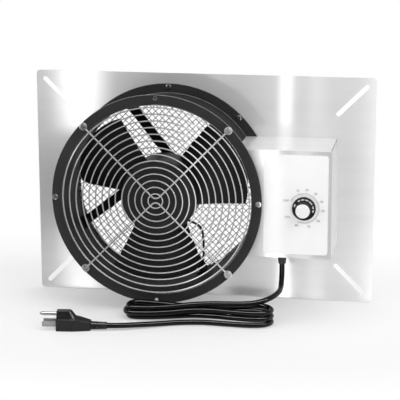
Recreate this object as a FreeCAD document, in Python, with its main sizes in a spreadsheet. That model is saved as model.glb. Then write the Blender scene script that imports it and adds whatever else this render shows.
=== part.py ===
import FreeCAD, Part
import math
import os
import re
from types import SimpleNamespace

import Sketcher
from FreeCAD import Placement, Rotation, Vector

# A crawl space ventilation fan that stands on the lower edge of its mounting plate.
# The part's frame has +X to the right, the front facing -Y and +Z up.
# Most pieces are drawn in a front view: x to the right, y up, z forward from the plate's front face.

SIZES = {
    # Mounting plate with four diagonal slots
    "plate_wall": 1.2,
    "plate_corner": 5.0,
    "plate_margin": 13.4,
    "fan_margin": 41.9,
    "box_margin": 47.5,
    "slot_width": 6.2,
    "slot_outer": 11.7,
    "slot_span": 36.6,
    # Duct with its two flanges, and the mesh behind it
    "duct_radius": 122.8,
    "duct_wall": 1.2,
    "duct_bend": 1.2,
    "nut_clearance": 3.4,
    "flange_edge": 4.6,
    "opening_step": 1.8,
    "mesh_clearance": 1.5,
    "mesh_wall": 1.0,
    "mesh_pitch": 11.8,
    "mesh_wire": 2.2,
    "rivet_radius": 2.0,
    "rivet_head_radius": 3.8,
    "rivet_head_height": 1.5,
    "rivet_bore_radius": 1.1,
    "rivet_bore_depth": 1.2,
    # Front guard of wire rings on two bent spokes
    "guard_clearance": 16.0,
    "guard_inset": 1.76,
    "ring_first": 9.5,
    "ring_wire": 1.8,
    "spoke_wire": 2.4,
    "spoke_bend": 7.2,
    "eyelet_gap": 0.4,
    "guard_screw_radius": 2.5,
    "guard_head_lap": 0.4,
    "guard_head_height": 3.0,
    "guard_nut_wall": 2.1,
    "guard_nut_height": 4.0,
    "guard_screw_tip": 2.0,
    "flange_screw_radius": 2.0,
    "flange_head_radius": 3.8,
    "flange_head_height": 2.4,
    "flange_screw_tip": 1.6,
    # Motor bracket with four arms in a pinwheel
    "spider_rear": 12.0,
    "spider_wall": 3.0,
    "spider_rim": 1.0,
    "spider_turn": 38.0,
    "arm_offset": 29.0,
    "arm_width": 12.0,
    "foot_width": 16.0,
    "foot_height": 16.0,
    "foot_wall": 3.0,
    "foot_screw_height": 9.6,
    "foot_screw_radius": 2.0,
    "foot_head_radius": 3.8,
    "foot_head_height": 2.4,
    "foot_nut_radius": 4.0,
    "foot_nut_height": 3.2,
    # Motor with an outer rotor
    "base_inset": 3.0,
    "base_wall": 5.0,
    "tube_wall": 2.0,
    "bearing_radius": 11.0,
    "bearing_width": 7.0,
    "bearing_inset": 1.5,
    "shaft_radius": 5.0,
    "shaft_inset": 2.0,
    "core_radius": 38.5,
    "core_length": 26.0,
    "winding_bore": 5.0,
    "winding_step": 2.5,
    "winding_gap": 4.0,
    "winding_length": 8.0,
    "can_wall": 2.0,
    "can_gap": 4.0,
    "can_round": 2.0,
    "can_boss_radius": 9.0,
    "can_boss_length": 5.0,
    "boss_gap": 3.0,
    "air_gap": 0.5,
    "rotor_core_wall": 7.95,
    "rotor_core_length": 30.0,
    "motor_screw_inset": 12.0,
    "motor_screw_radius": 2.0,
    "motor_head_radius": 3.6,
    "motor_head_height": 2.2,
    "motor_screw_cover": 1.0,
    # Blades of the impeller
    "tip_gap": 5.1,
    "tip_curve": 85.0,
    "tip_corner": 12.0,
    "blade_wall": 1.8,
    "blade_setback": 8.0,
    "blade_clearance": 2.0,
    "blade_root_half": 24.5,
    "blade_spread": 0.47,
    "leading_root_half": 24.0,
    "leading_spread": 0.425,
    "leading_hollow": 2.6,
    "blade_camber": 5.0,
    "blade_turn": 25.5,
    # Leads inside the duct
    "lead_diameter": 4.5,
    "lead_clearance": 0.75,
    "lead_angle": 12.0,
    "grommet_wall": 2.35,
    "grommet_rim": 1.6,
    "grommet_rim_wall": 1.2,
    "earth_diameter": 3.0,
    # Control box of folded sheet with its label
    "box_width": 121.1,
    "box_height": 139.0,
    "box_setback": 5.0,
    "box_wall": 1.0,
    "box_seam": 0.8,
    "box_lap": 0.396,
    "box_tab_width": 30.0,
    "box_tab_length": 14.0,
    "box_screw_radius": 2.0,
    "box_screw_head": 3.9,
    "box_screw_length": 4.5,
    "duct_gap": 0.5,
    "label_wall": 0.25,
    "label_corner": 4.0,
    "label_left": 35.0,
    "label_right": 4.3,
    "label_margin": 5.2,
    # Humidistat behind its knob
    "knob_inset": 34.7,
    "knob_drop": 4.1,
    "stat_width": 52.0,
    "stat_depth": 34.0,
    "stat_screw_spacing": 20.0,
    "stat_screw_radius": 1.6,
    "stat_head_radius": 2.9,
    "stat_screw_bite": 6.0,
    "spindle_radius": 3.0,
    "spindle_clearance": 1.8,
    "spindle_inside": 14.0,
    "spindle_outside": 11.0,
    "knob_gap": 0.8,
    "skirt_width": 4.6,
    "skirt_height": 3.4,
    "skirt_chamfer": 1.36,
    "grip_base_radius": 10.4,
    "grip_taper": 1.0,
    "knob_height": 14.6,
    "cap_inset": 0.4,
    "cap_height": 1.0,
    "cap_chamfer": 0.4,
    # Terminal block and run capacitor inside the box
    "block_inset": 73.5,
    "block_gap": 14.0,
    "block_width": 34.0,
    "block_height": 26.0,
    "block_depth": 26.0,
    "capacitor_inset": 27.5,
    "capacitor_gap": 10.5,
    "capacitor_radius": 15.0,
    "capacitor_length": 58.0,
    "clip_wall": 1.2,
    "clip_width": 12.0,
    "clip_ear": 5.0,
    # Mains cord, its strain relief and its plug
    "cord_diameter": 7.0,
    "gland_inset": 66.3,
    "gland_reach": 48.0,
    "gland_length": 18.5,
    "gland_radius": 6.6,
    "gland_tip_radius": 4.7,
    "gland_neck_radius": 5.8,
    "gland_collar_radius": 8.6,
    "gland_collar": 3.0,
    "hank_left": -68.0,
    "hank_right": 85.5,
    "hank_far": -97.0,
    "hank_left_radius": 12.0,
    "hank_right_radius": 18.5,
    "waist_x": 15.0,
    "waist_near": -113.0,
    "waist_far": -100.0,
    "layer_gap": 0.5,
    "plug_x": -94.5,
    "plug_y": -171.2,
    "plug_level": 5.5,
    "plug_turn": 186.0,
    "plug_relief_length": 20.0,
    "plug_relief_radius": 5.3,
    "plug_relief_tip": 4.5,
    "relief_slot_width": 2.2,
    "relief_slot_height": 4.4,
    "relief_slot_pitch": 4.2,
    "relief_slot_start": 4.0,
    "relief_slot_depth": 1.5,
    "plug_length": 43.5,
    "plug_taper": 22.4,
    "plug_width": 22.0,
    "plug_tail_width": 13.0,
    "plug_height": 14.8,
    "plug_tail_height": 10.8,
    "plug_corner": 2.0,
    "hood_setback": 0.9,
    "hood_length": 26.5,
    "hood_width": 17.0,
    "hood_height": 9.8,
    "hood_top_length": 18.8,
    "hood_top_width": 9.6,
    "prong_spacing": 12.7,
    "prong_length": 17.5,
    "prong_width": 6.4,
    "prong_wall": 1.5,
    "prong_level": 8.2,
    "earth_pin_radius": 2.4,
    "earth_pin_length": 21.0,
    "earth_pin_rise": 11.9,
    # Clearances
    "fit_gap": 0.05,
    "screw_gap": 0.15,
    "bearing_gap": 0.1,
    "running_gap": 0.3,
}

# Counts of repeated pieces
RING_COUNT = 14
BLADE_COUNT = 3
ARM_COUNT = 4
RIVET_COUNT = 8
GUARD_SCREW_COUNT = 4
FLANGE_SCREW_COUNT = 2
LOOP_COUNT = 3
RELIEF_SLOT_COUNT = 3

# Sizes and places that follow from the driving ones, each from those above it
FOLLOWING = {
    # Flanges, from the nuts that must clear the duct's wall
    "duct_outer": "duct_radius + duct_wall",
    "guard_nut_radius": "guard_screw_radius + guard_nut_wall",
    "bolt_circle": "duct_outer + nut_clearance + guard_nut_radius",
    "flange_radius": "bolt_circle + flange_edge",
    "opening_radius": "duct_radius - opening_step",
    "mesh_radius": "bolt_circle - rivet_radius - mesh_clearance",
    # Levels of the motor, from its bracket forward
    "spider_front": "spider_rear + spider_wall",
    "foot_level": "spider_rear + foot_screw_height",
    "foot_radius": "duct_radius - running_gap",
    "base_front": "spider_front + base_wall",
    "can_rear": "base_front + can_gap",
    "core_rear": "base_front + winding_gap + winding_length",
    "tube_front": "core_rear + core_length + winding_length",
    "can_face": "tube_front + boss_gap + can_boss_length",
    "can_front": "can_face + can_wall",
    "duct_front": "can_front + guard_clearance",
    "flange_rear": "duct_front - duct_wall",
    # Radii of the motor, from the stator's core outward and inward
    "can_inside": "core_radius + air_gap + rotor_core_wall + fit_gap",
    "can_radius": "can_inside + can_wall",
    "base_radius": "can_inside - base_inset",
    "spider_disc": "base_radius + spider_rim",
    "motor_screw_circle": "base_radius - motor_screw_inset",
    "motor_screw_bite": "base_wall - motor_screw_cover",
    "tube_radius": "bearing_radius + tube_wall",
    "blade_tip": "duct_radius - tip_gap",
    "blade_front": "can_front - blade_setback",
    "blade_rear": "spider_rear + foot_height + blade_clearance",
    # Guard
    "eyelet_radius": "guard_screw_radius + eyelet_gap + spoke_wire / 2",
    "ring_pitch": f"(duct_radius - guard_inset - ring_first) / {RING_COUNT - 1}",
    "spoke_level": "duct_front + spoke_wire / 2",
    "ring_level": "duct_front + spoke_wire + fit_gap + ring_wire / 2",
    # Leads
    "lead_level": "spider_front + lead_clearance + lead_diameter / 2",
    "grommet_radius": "lead_diameter / 2 + grommet_wall",
    # Places on the plate, with the fan at the left and the control box against the duct
    "plate_height": "2 * (flange_radius + plate_margin)",
    "fan_height": "plate_height / 2",
    "box_clear": "duct_outer + duct_gap",
    "box_reach": "sqrt(box_clear ^ 2 - (box_height / 2) ^ 2) - box_lap",
    "plate_width": "fan_margin + flange_radius + box_reach + box_width + box_margin",
    "fan_x": "fan_margin + flange_radius - plate_width / 2",
    "box_left": "fan_x + box_reach",
    "box_right": "box_left + box_width",
    "box_bottom": "fan_height - box_height / 2",
    "box_top": "fan_height + box_height / 2",
    "box_depth": "duct_front - box_setback",
    "slot_inner": "slot_outer + slot_span",
    # Humidistat and knob
    "knob_x": "box_right - knob_inset",
    "knob_z": "fan_height - knob_drop",
    "knob_rear": "box_depth + label_wall + knob_gap",
    "spindle_hole": "spindle_radius + spindle_clearance",
    "grip_top_radius": "grip_base_radius - grip_taper",
    "skirt_radius": "grip_base_radius + skirt_width",
    "cap_radius": "grip_top_radius - cap_inset",
    # What the box holds
    "block_x": "box_right - block_inset",
    "capacitor_x": "box_right - capacitor_inset",
    "capacitor_bottom": "box_bottom + box_wall + capacitor_gap",
    "capacitor_level": "clip_wall + fit_gap + capacitor_radius",
    "block_bottom": "capacitor_bottom + capacitor_length + block_gap",
    "gland_x": "box_right - gland_inset",
    # Cord and plug
    "layer_pitch": "cord_diameter + layer_gap",
    "plug_face": "plug_relief_length + plug_length",
    # The plate's front face, so that the middle of the whole depth lies on the origin
    "plate_y": "(knob_rear + knob_height + cap_height - plate_wall) / 2",
}

# Proportions of a screw's or rivet's head: its rim's share of the height and its crown's of the radius
HEAD_RIM = 0.55
HEAD_CROWN = 0.66
# Proportions of a cross recess: its length and width as shares of the head's radius, its depth of the height
CROSS_LENGTH = 1.1
CROSS_WIDTH = 0.26
CROSS_DEPTH = 0.55

doc = FreeCAD.newDocument("crawl_space_fan")
sheet = doc.addObject("Spreadsheet::Sheet", "Sizes")
for row, (alias, value) in enumerate(SIZES.items(), 1):
    sheet.set(f"A{row}", alias)
    sheet.set(f"B{row}", str(value))
    sheet.setAlias(f"B{row}", alias)
places = doc.addObject("App::VarSet", "Places")
WORD = re.compile(r"[a-z_][a-z0-9_]*")


def cells(text):
    """Turn each size's name into a reference to where its value is kept."""
    def reference(word):
        name = word.group()
        if name in SIZES:
            return "Sizes." + name
        return "Places." + name if name in FOLLOWING else name
    return WORD.sub(reference, text)


for alias, text in FOLLOWING.items():
    places.addProperty("App::PropertyFloat", alias)
    places.setExpression(alias, cells(text))
doc.recompute()
size = SimpleNamespace(**{alias: float(sheet.get(alias)) for alias in SIZES})
for alias in FOLLOWING:
    setattr(size, alias, getattr(places, alias))

FRONT_VIEW = Rotation(Vector(1, 0, 0), 90)
UPRIGHT = Vector(0, 0, 1)
nodes = []


def bind(obj, prop, text):
    obj.setExpression(prop, cells(text))


def move(obj, x, y, z):
    for axis, text in zip("xyz", (x, y, z)):
        bind(obj, f"Placement.Base.{axis}", text)


def node(obj, label, x="0", y="0", z="0", rotation=FRONT_VIEW):
    """Name a finished sub-part and set it in the part's frame from its place in the front view."""
    obj.Label = label
    obj.Placement = Placement(Vector(), rotation)
    move(obj, x, f"plate_y - ({z})", y)
    nodes.append(obj)


def fan_node(obj, label, z="0", turn=0.0):
    """Name a sub-part that is drawn about the fan's axis."""
    node(obj, label, "fan_x", "fan_height", z, FRONT_VIEW * Rotation(UPRIGHT, turn))


def cylinder(name, radius, height, x="0", y="0", z="0", axis=UPRIGHT):
    obj = doc.addObject("Part::Cylinder", name)
    bind(obj, "Radius", radius)
    bind(obj, "Height", height)
    obj.Placement = Placement(Vector(), Rotation(UPRIGHT, axis))
    move(obj, x, y, z)
    return obj


def box(name, length, width, height, x="0", y="0", z="0"):
    obj = doc.addObject("Part::Box", name)
    bind(obj, "Length", length)
    bind(obj, "Width", width)
    bind(obj, "Height", height)
    move(obj, x, y, z)
    return obj


def group(name, members):
    obj = doc.addObject("Part::Compound", name)
    obj.Links = members
    return obj


def fuse(name, members):
    obj = doc.addObject("Part::MultiFuse", name)
    obj.Shapes = members
    obj.Refine = True
    return obj


def cut(name, base, tools):
    obj = doc.addObject("Part::Cut", name)
    obj.Base = base
    obj.Tool = tools[0] if len(tools) == 1 else group(name + "_tools", tools)
    return obj


def common(name, base, tool):
    obj = doc.addObject("Part::Common", name)
    obj.Base = base
    obj.Tool = tool
    return obj


def shaped(name, shape):
    obj = doc.addObject("Part::Feature", name)
    obj.Shape = shape
    return obj


def sketch_on(body, role, name):
    sketch = body.newObject("Sketcher::SketchObject", name)
    plane = [feature for feature in body.Origin.OriginFeatures if feature.Role == role][0]
    sketch.AttachmentSupport = (plane, [""])
    sketch.MapMode = "FlatFace"
    return sketch


def polygon(sketch, points):
    """Draw a closed outline and bind each corner to the sheet."""
    count = len(points)
    start_radius = 10.0
    corners = []
    for step in range(count + 1):
        angle = 2 * math.pi * step / count
        corners.append(Vector(start_radius * math.cos(angle), start_radius * math.sin(angle), 0))
    lines = [sketch.addGeometry(Part.LineSegment(a, b)) for a, b in zip(corners, corners[1:])]
    for step in range(count):
        following = lines[(step + 1) % count]
        sketch.addConstraint(Sketcher.Constraint("Coincident", lines[step], 2, following, 1))
    for step, corner in enumerate(points):
        for kind, text in zip(("DistanceX", "DistanceY"), corner):
            index = sketch.addConstraint(Sketcher.Constraint(kind, -1, 1, lines[step], 1, start_radius))
            title = f"corner{step}{kind[-1]}"
            sketch.renameConstraint(index, title)
            bind(sketch, f"Constraints.{title}", text)


def turned(name, profile):
    """Revolve a profile of (radius, height) corners about the body's own Z axis."""
    body = doc.addObject("PartDesign::Body", name)
    sketch = sketch_on(body, "XZ_Plane", name + "_profile")
    polygon(sketch, profile)
    turn = body.newObject("PartDesign::Revolution", name + "_turn")
    turn.Profile = sketch
    turn.ReferenceAxis = (sketch, ["V_Axis"])
    turn.Angle = 360
    return body


def padded(name, outline, thickness):
    """Pad an outline drawn in the body's XY plane."""
    body = doc.addObject("PartDesign::Body", name)
    sketch = sketch_on(body, "XY_Plane", name + "_outline")
    polygon(sketch, outline)
    pad = body.newObject("PartDesign::Pad", name + "_pad")
    pad.Profile = sketch
    bind(pad, "Length", thickness)
    return body


def round_body(body, radius, pick):
    """Fillet the edges of a body that pick chooses."""
    doc.recompute()
    feature = body.Tip
    chosen = [f"Edge{index}" for index, edge in enumerate(feature.Shape.Edges, 1) if pick(edge)]
    fillet = body.newObject("PartDesign::Fillet", body.Name + f"_round{len(body.Group)}")
    fillet.Base = (feature, chosen)
    bind(fillet, "Radius", radius)


def upright_edge(edge):
    return abs(edge.tangentAt(edge.FirstParameter).dot(UPRIGHT)) > 0.99


def circle_at(radius, height):
    """Make a test for a circular edge about the body's axis."""
    def test(edge):
        if not isinstance(edge.Curve, Part.Circle):
            return False
        same_radius = math.isclose(edge.Curve.Radius, radius, abs_tol=1e-4)
        return same_radius and math.isclose(edge.Curve.Center.z, height, abs_tol=1e-4)
    return test


def ring(name, inner, outer, height, z="0"):
    solid = cylinder(name + "_outer", outer, height, z=z)
    return cut(name, solid, [cylinder(name + "_bore", inner, height, z=z)])


def on_circle(radius, angle):
    """Give the x and y of a point on a circle about the axis, in the sheet's words."""
    return f"{radius} * cos({angle})", f"{radius} * sin({angle})"


def headed(name, shank, head_radius, head_height, below, x="0", y="0", z="0", axis=UPRIGHT):
    """A fastener whose head stands on z and whose shank goes the other way."""
    profile = [
        ("0", f"-({below})"),
        (shank, f"-({below})"),
        (shank, "0"),
        (head_radius, "0"),
        (head_radius, f"({head_height}) * {HEAD_RIM}"),
        (f"({head_radius}) * {HEAD_CROWN}", head_height),
        ("0", head_height),
    ]
    body = turned(name, profile)
    body.Placement = Placement(Vector(), Rotation(UPRIGHT, axis))
    move(body, x, y, z)
    return body


def screw(name, shank, head_radius, head_height, below, x="0", y="0", z="0", axis=UPRIGHT):
    """A headed screw with a cross recess."""
    body = headed(name + "_blank", shank, head_radius, head_height, below)
    long = f"({head_radius}) * {CROSS_LENGTH}"
    narrow = f"({head_radius}) * {CROSS_WIDTH}"
    floor = f"({head_height}) * {1 - CROSS_DEPTH}"
    bars = []
    for index, (length, width) in enumerate(((long, narrow), (narrow, long))):
        corner = (f"-({length}) / 2", f"-({width}) / 2", floor)
        bars.append(box(f"{name}_cross{index}", length, width, head_height, *corner))
    obj = cut(name, body, bars)
    obj.Placement = Placement(Vector(), Rotation(UPRIGHT, axis))
    move(obj, x, y, z)
    return obj


def nut(name, radius, bore, height, x="0", y="0", z="0", axis=UPRIGHT):
    prism = doc.addObject("Part::Prism", name + "_hexagon")
    prism.Polygon = 6
    bind(prism, "Circumradius", radius)
    bind(prism, "Height", height)
    obj = cut(name, prism, [cylinder(name + "_bore", bore, height)])
    obj.Placement = Placement(Vector(), Rotation(UPRIGHT, axis))
    move(obj, x, y, z)
    return obj


# Paths of round bar, wire and cord


def circle_wire(radius, centre, axis):
    return Part.Wire([Part.Circle(centre, axis, radius).toShape()])


def tube(path, diameter):
    """Sweep a round section along a path that starts with the path's own direction."""
    first = path.OrderedEdges[0]
    start = first.valueAt(first.FirstParameter)
    if start.distanceToPoint(path.OrderedVertexes[0].Point) > 1e-6:
        start = first.valueAt(first.LastParameter)
    direction = first.tangentAt(first.FirstParameter)
    return path.makePipeShell([circle_wire(diameter / 2, start, direction)], True, False)


def check_tube(title, shape, path, diameter):
    expected = math.pi * diameter ** 2 / 4 * path.Length
    share = shape.Volume / expected
    print(f"{title}: length {path.Length:.1f}, volume over section times length {share:.4f}")


def rounded_path(title, points, share=0.45):
    """Join straight runs with the largest tangent arcs that the runs allow."""
    edges = []
    radii = []
    start = points[0]
    for before, corner, after in zip(points, points[1:], points[2:]):
        inward = (corner - before).normalize()
        onward = (after - corner).normalize()
        turn = inward.getAngle(onward)
        reach = share * min((corner - before).Length, (after - corner).Length)
        radius = reach / math.tan(turn / 2)
        radii.append(radius)
        arc_start = corner - inward * reach
        arc_end = corner + onward * reach
        bisector = (onward - inward).normalize()
        middle = corner + bisector * (radius / math.cos(turn / 2) - radius)
        edges.append(Part.LineSegment(start, arc_start).toShape())
        edges.append(Part.Arc(arc_start, middle, arc_end).toShape())
        start = arc_end
    edges.append(Part.LineSegment(start, points[-1]).toShape())
    print(f"{title}: arc radii " + " ".join(f"{radius:.0f}" for radius in radii))
    return Part.Wire(edges)


def arc_from(start, direction, reach, end):
    """The arc that leaves start along direction and ends at end, reach from their corner."""
    corner = start + direction * reach
    middle = (start + end) * 0.5
    height = (corner - middle).Length
    if height < 1e-6:
        return Part.LineSegment(start, end).toShape()
    half_chord = (end - start).Length / 2
    half_turn = math.atan2(height, half_chord)
    sagitta = half_chord * math.tan(half_turn / 2)
    return Part.Arc(start, middle + (corner - middle) * (sagitta / height), end).toShape()


def biarc(start, start_way, end, end_way):
    """Two arcs, tangent to each other, between two points with given directions."""
    chord = end - start
    ways = start_way + end_way
    spread = 2 - 2 * start_way.dot(end_way)
    along = chord.dot(ways)
    if spread < 1e-9:
        reach = chord.dot(chord) / (2 * along)
    else:
        reach = (-along + math.sqrt(along ** 2 + spread * chord.dot(chord))) / spread
    joint = (start + start_way * reach + end - end_way * reach) * 0.5
    second = arc_from(end, end_way * -1, reach, joint)
    return [arc_from(start, start_way, reach, joint), second]


# Mounting plate and mesh


def slot_tool(index, side, level):
    """A cutter for one diagonal slot, pointing from a corner towards the middle."""
    length = "((slot_inner - slot_outer) * sqrt(2))"
    name = f"slot{index}"
    bar = box(name + "_bar", length, "slot_width", "plate_wall * 3", y="-slot_width / 2")
    ends = [
        cylinder(name + "_outer", "slot_width / 2", "plate_wall * 3"),
        cylinder(name + "_inner", "slot_width / 2", "plate_wall * 3", x=length),
    ]
    obj = fuse(name, [bar] + ends)
    angle = math.degrees(math.atan2(-level, -side))
    obj.Placement = Placement(Vector(), Rotation(UPRIGHT, angle))
    height = "plate_height - slot_outer" if level > 0 else "slot_outer"
    move(obj, f"{side} * (plate_width / 2 - slot_outer)", height, "-plate_wall * 2")
    return obj


def box_screw_places():
    """The three places where the control box is screwed to the plate from behind."""
    middle = "((box_left + box_right) / 2 + box_tab_width / 2)"
    inset = "(box_wall + box_tab_length / 2)"
    return [
        (middle, f"box_top - {inset}"),
        (middle, f"box_bottom + {inset}"),
        (f"box_right - {inset}", "fan_height"),
    ]


def mounting_plate():
    outline = [
        ("-plate_width / 2", "0"),
        ("plate_width / 2", "0"),
        ("plate_width / 2", "plate_height"),
        ("-plate_width / 2", "plate_height"),
    ]
    blank = padded("plate_blank", outline, "plate_wall")
    round_body(blank, "plate_corner", upright_edge)
    move(blank, "0", "0", "-plate_wall")
    through = ("plate_wall * 3", "fan_x", "fan_height", "-plate_wall * 2")
    tools = [cylinder("plate_opening", "opening_radius", *through)]
    corners = [(-1, 1), (1, 1), (-1, -1), (1, -1)]
    for index, (side, level) in enumerate(corners):
        tools.append(slot_tool(index, side, level))
    for index in range(RIVET_COUNT):
        x, y = on_circle("bolt_circle", 360 / RIVET_COUNT * index)
        hole = f"plate_rivet_hole{index}"
        place = (f"fan_x + {x}", f"fan_height + {y}", "-plate_wall * 2")
        tools.append(cylinder(hole, "rivet_radius + screw_gap", "plate_wall * 3", *place))
    for index, (x, y) in enumerate(box_screw_places()):
        sink = doc.addObject("Part::Cone", f"plate_sink{index}")
        bind(sink, "Radius1", "box_screw_head + screw_gap")
        bind(sink, "Radius2", "box_screw_radius + screw_gap")
        bind(sink, "Height", "plate_wall")
        move(sink, x, y, "-plate_wall")
        tools.append(sink)
    node(cut("plate", blank, tools), "mounting_plate")


def rear_mesh():
    """Square wire cloth on the diagonal, as one sheet with a hole for each gap."""
    half_gap = (size.mesh_pitch - size.mesh_wire) / 2
    reach = int(size.opening_radius / size.mesh_pitch) + 1
    diagonal = math.sqrt(0.5)
    wires = [circle_wire(size.mesh_radius, Vector(), UPRIGHT)]
    for column in range(-reach, reach + 1):
        for line in range(-reach, reach + 1):
            corners = []
            for side, level in ((-1, -1), (1, -1), (1, 1), (-1, 1)):
                across = column * size.mesh_pitch + side * half_gap
                along = line * size.mesh_pitch + level * half_gap
                corners.append(Vector((across - along) * diagonal, (across + along) * diagonal, 0))
            if max(corner.Length for corner in corners) < size.opening_radius:
                wires.append(Part.makePolygon(corners + corners[:1]))
    print(f"rear_mesh: {len(wires) - 1} gaps")
    cloth = Part.makeFace(wires, "Part::FaceMakerBullseye").extrude(Vector(0, 0, size.mesh_wall))
    fan_node(shaped("mesh", cloth), "rear_mesh")


# Duct, its rivets and the guard in front


def spider_angle(index):
    """The direction of the middle of one bracket foot, seen from the axis."""
    lean = math.degrees(math.asin(size.arm_offset / size.duct_radius))
    return 90.0 - lean + size.spider_turn + 360.0 / ARM_COUNT * index


def radial(angle):
    return Vector(math.cos(math.radians(angle)), math.sin(math.radians(angle)), 0)


def fan_duct():
    profile = [
        ("duct_radius", "mesh_wall"),
        ("flange_radius", "mesh_wall"),
        ("flange_radius", "mesh_wall + duct_wall"),
        ("duct_outer", "mesh_wall + duct_wall"),
        ("duct_outer", "flange_rear"),
        ("flange_radius", "flange_rear"),
        ("flange_radius", "duct_front"),
        ("duct_radius", "duct_front"),
    ]
    body = turned("duct_body", profile)
    round_body(body, "duct_bend", circle_at(size.duct_radius, size.duct_front))
    round_body(body, "duct_bend", circle_at(size.duct_radius, size.mesh_wall))
    tools = []
    for index in range(RIVET_COUNT):
        x, y = on_circle("bolt_circle", 360 / RIVET_COUNT * index)
        tools.append(cylinder(f"duct_rivet_hole{index}", "rivet_radius + screw_gap", "duct_wall * 3", x, y))
        radius = "guard_screw_radius" if index % 2 else "flange_screw_radius"
        level = "flange_rear - duct_wall"
        hole = (f"{radius} + screw_gap", "duct_wall * 3", x, y, level)
        tools.append(cylinder(f"duct_front_hole{index}", *hole))
    for index in range(ARM_COUNT):
        angle = spider_angle(index)
        x, y = on_circle("(duct_radius - foot_wall)", angle)
        hole = f"duct_foot_hole{index}"
        radius = "foot_screw_radius + screw_gap"
        tools.append(cylinder(hole, radius, "foot_wall * 3", x, y, "foot_level", radial(angle)))
    x, y = on_circle("(duct_radius - foot_wall)", "lead_angle")
    way = radial(size.lead_angle)
    tools.append(cylinder("duct_lead_hole", "grommet_radius", "foot_wall * 3", x, y, "lead_level", way))
    fan_node(cut("duct", body, tools), "fan_duct")


def flange_rivets():
    """Blind rivets, open at the head where the pin has been pulled out."""
    rivets = []
    for index in range(RIVET_COUNT):
        x, y = on_circle("bolt_circle", 360 / RIVET_COUNT * index)
        below = "mesh_wall + duct_wall + plate_wall"
        level = "mesh_wall + duct_wall"
        head = ("rivet_head_radius", "rivet_head_height")
        rivet = headed(f"rivet_blank{index}", "rivet_radius", *head, below, x, y, level)
        floor = f"{level} + rivet_head_height - rivet_bore_depth"
        bore = cylinder(f"rivet_bore{index}", "rivet_bore_radius", "rivet_head_height", x, y, floor)
        rivets.append(cut(f"rivet{index}", rivet, [bore]))
    fan_node(group("rivets", rivets), "flange_rivets")


def guard_rings():
    rings = []
    for index in range(RING_COUNT):
        torus = doc.addObject("Part::Torus", f"guard_ring{index}")
        bind(torus, "Radius1", f"ring_first + ring_pitch * {index}")
        bind(torus, "Radius2", "ring_wire / 2")
        rings.append(torus)
    fan_node(group("rings", rings), "guard_rings", "ring_level")


def guard_spokes():
    """Two wires, each bent in a V at the middle, with an eyelet round each guard screw."""
    reach = size.bolt_circle - size.eyelet_radius
    bend = size.spoke_bend
    diagonal = math.sqrt(0.5)
    spokes = []
    for level in (1, -1):
        left = Vector(-diagonal, level * diagonal, 0)
        right = Vector(diagonal, level * diagonal, 0)
        trough = Vector(0, level * bend * (math.sqrt(2) - 1), 0)
        edges = [
            Part.LineSegment(left * reach, left * bend).toShape(),
            Part.Arc(left * bend, trough, right * bend).toShape(),
            Part.LineSegment(right * bend, right * reach).toShape(),
        ]
        wire = tube(Part.Wire(edges), size.spoke_wire)
        eyelets = []
        for way in (left, right):
            eyelets.append(Part.makeTorus(size.eyelet_radius, size.spoke_wire / 2, way * size.bolt_circle))
        spokes.append(shaped(f"guard_spoke{len(spokes)}", wire.fuse(eyelets).removeSplitter()))
    fan_node(group("spokes", spokes), "guard_spokes", "spoke_level")


def guard_fasteners():
    screws = []
    nuts = []
    for index in range(GUARD_SCREW_COUNT):
        x, y = on_circle("bolt_circle", 45 + 360 / GUARD_SCREW_COUNT * index)
        level = "duct_front + spoke_wire + fit_gap"
        below = "spoke_wire + fit_gap + duct_wall + guard_nut_height + guard_screw_tip"
        head = ("(eyelet_radius + guard_head_lap)", "guard_head_height")
        screws.append(screw(f"guard_screw{index}", "guard_screw_radius", *head, below, x, y, level))
        bore = "guard_screw_radius + fit_gap"
        level = "flange_rear - guard_nut_height"
        nuts.append(nut(f"guard_nut{index}", "guard_nut_radius", bore, "guard_nut_height", x, y, level))
    fan_node(group("guard_screw_set", screws), "guard_screws")
    fan_node(group("guard_nut_set", nuts), "guard_nuts")
    small = []
    for index in range(FLANGE_SCREW_COUNT):
        x, y = on_circle("bolt_circle", 360 / FLANGE_SCREW_COUNT * index)
        below = "duct_wall + flange_screw_tip"
        head = ("flange_head_radius", "flange_head_height")
        small.append(screw(f"flange_screw{index}", "flange_screw_radius", *head, below, x, y, "duct_front"))
    fan_node(group("flange_screw_set", small), "flange_screws")


# Motor bracket and motor


def motor_screw_place(index):
    return on_circle("motor_screw_circle", 45 + 360 / ARM_COUNT * index)


def motor_spider():
    members = [cylinder("spider_plate", "spider_disc", "spider_wall", z="spider_rear")]
    for index in range(ARM_COUNT):
        name = f"arm{index}"
        left = "arm_offset - arm_width / 2"
        bar = box(name + "_bar", "arm_width", "duct_radius", "spider_wall", left, "0", "spider_rear")
        limit = cylinder(name + "_limit", "foot_radius", "spider_wall", z="spider_rear")
        left = "arm_offset - foot_width / 2"
        foot = ("foot_width", "duct_radius", "foot_height")
        blank = box(name + "_foot_blank", *foot, left, "0", "spider_rear")
        wall = ring(name + "_wall", "foot_radius - foot_wall", "foot_radius", "foot_height", "spider_rear")
        arm = fuse(name, [common(name + "_strip", bar, limit), common(name + "_foot", blank, wall)])
        arm.Placement = Placement(Vector(), Rotation(UPRIGHT, size.spider_turn + 360.0 / ARM_COUNT * index))
        members.append(arm)
    tools = [cylinder("spider_eye", "bearing_radius", "spider_wall", z="spider_rear")]
    for index in range(ARM_COUNT):
        x, y = motor_screw_place(index)
        radius = "motor_screw_radius + screw_gap"
        tools.append(cylinder(f"spider_motor_hole{index}", radius, "spider_wall", x, y, "spider_rear"))
        angle = spider_angle(index)
        x, y = on_circle("(duct_radius - foot_wall * 3)", angle)
        radius = "foot_screw_radius + screw_gap"
        hole = f"spider_foot_hole{index}"
        tools.append(cylinder(hole, radius, "foot_wall * 4", x, y, "foot_level", radial(angle)))
    fan_node(cut("spider", fuse("spider_blank", members), tools), "motor_spider")


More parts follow.
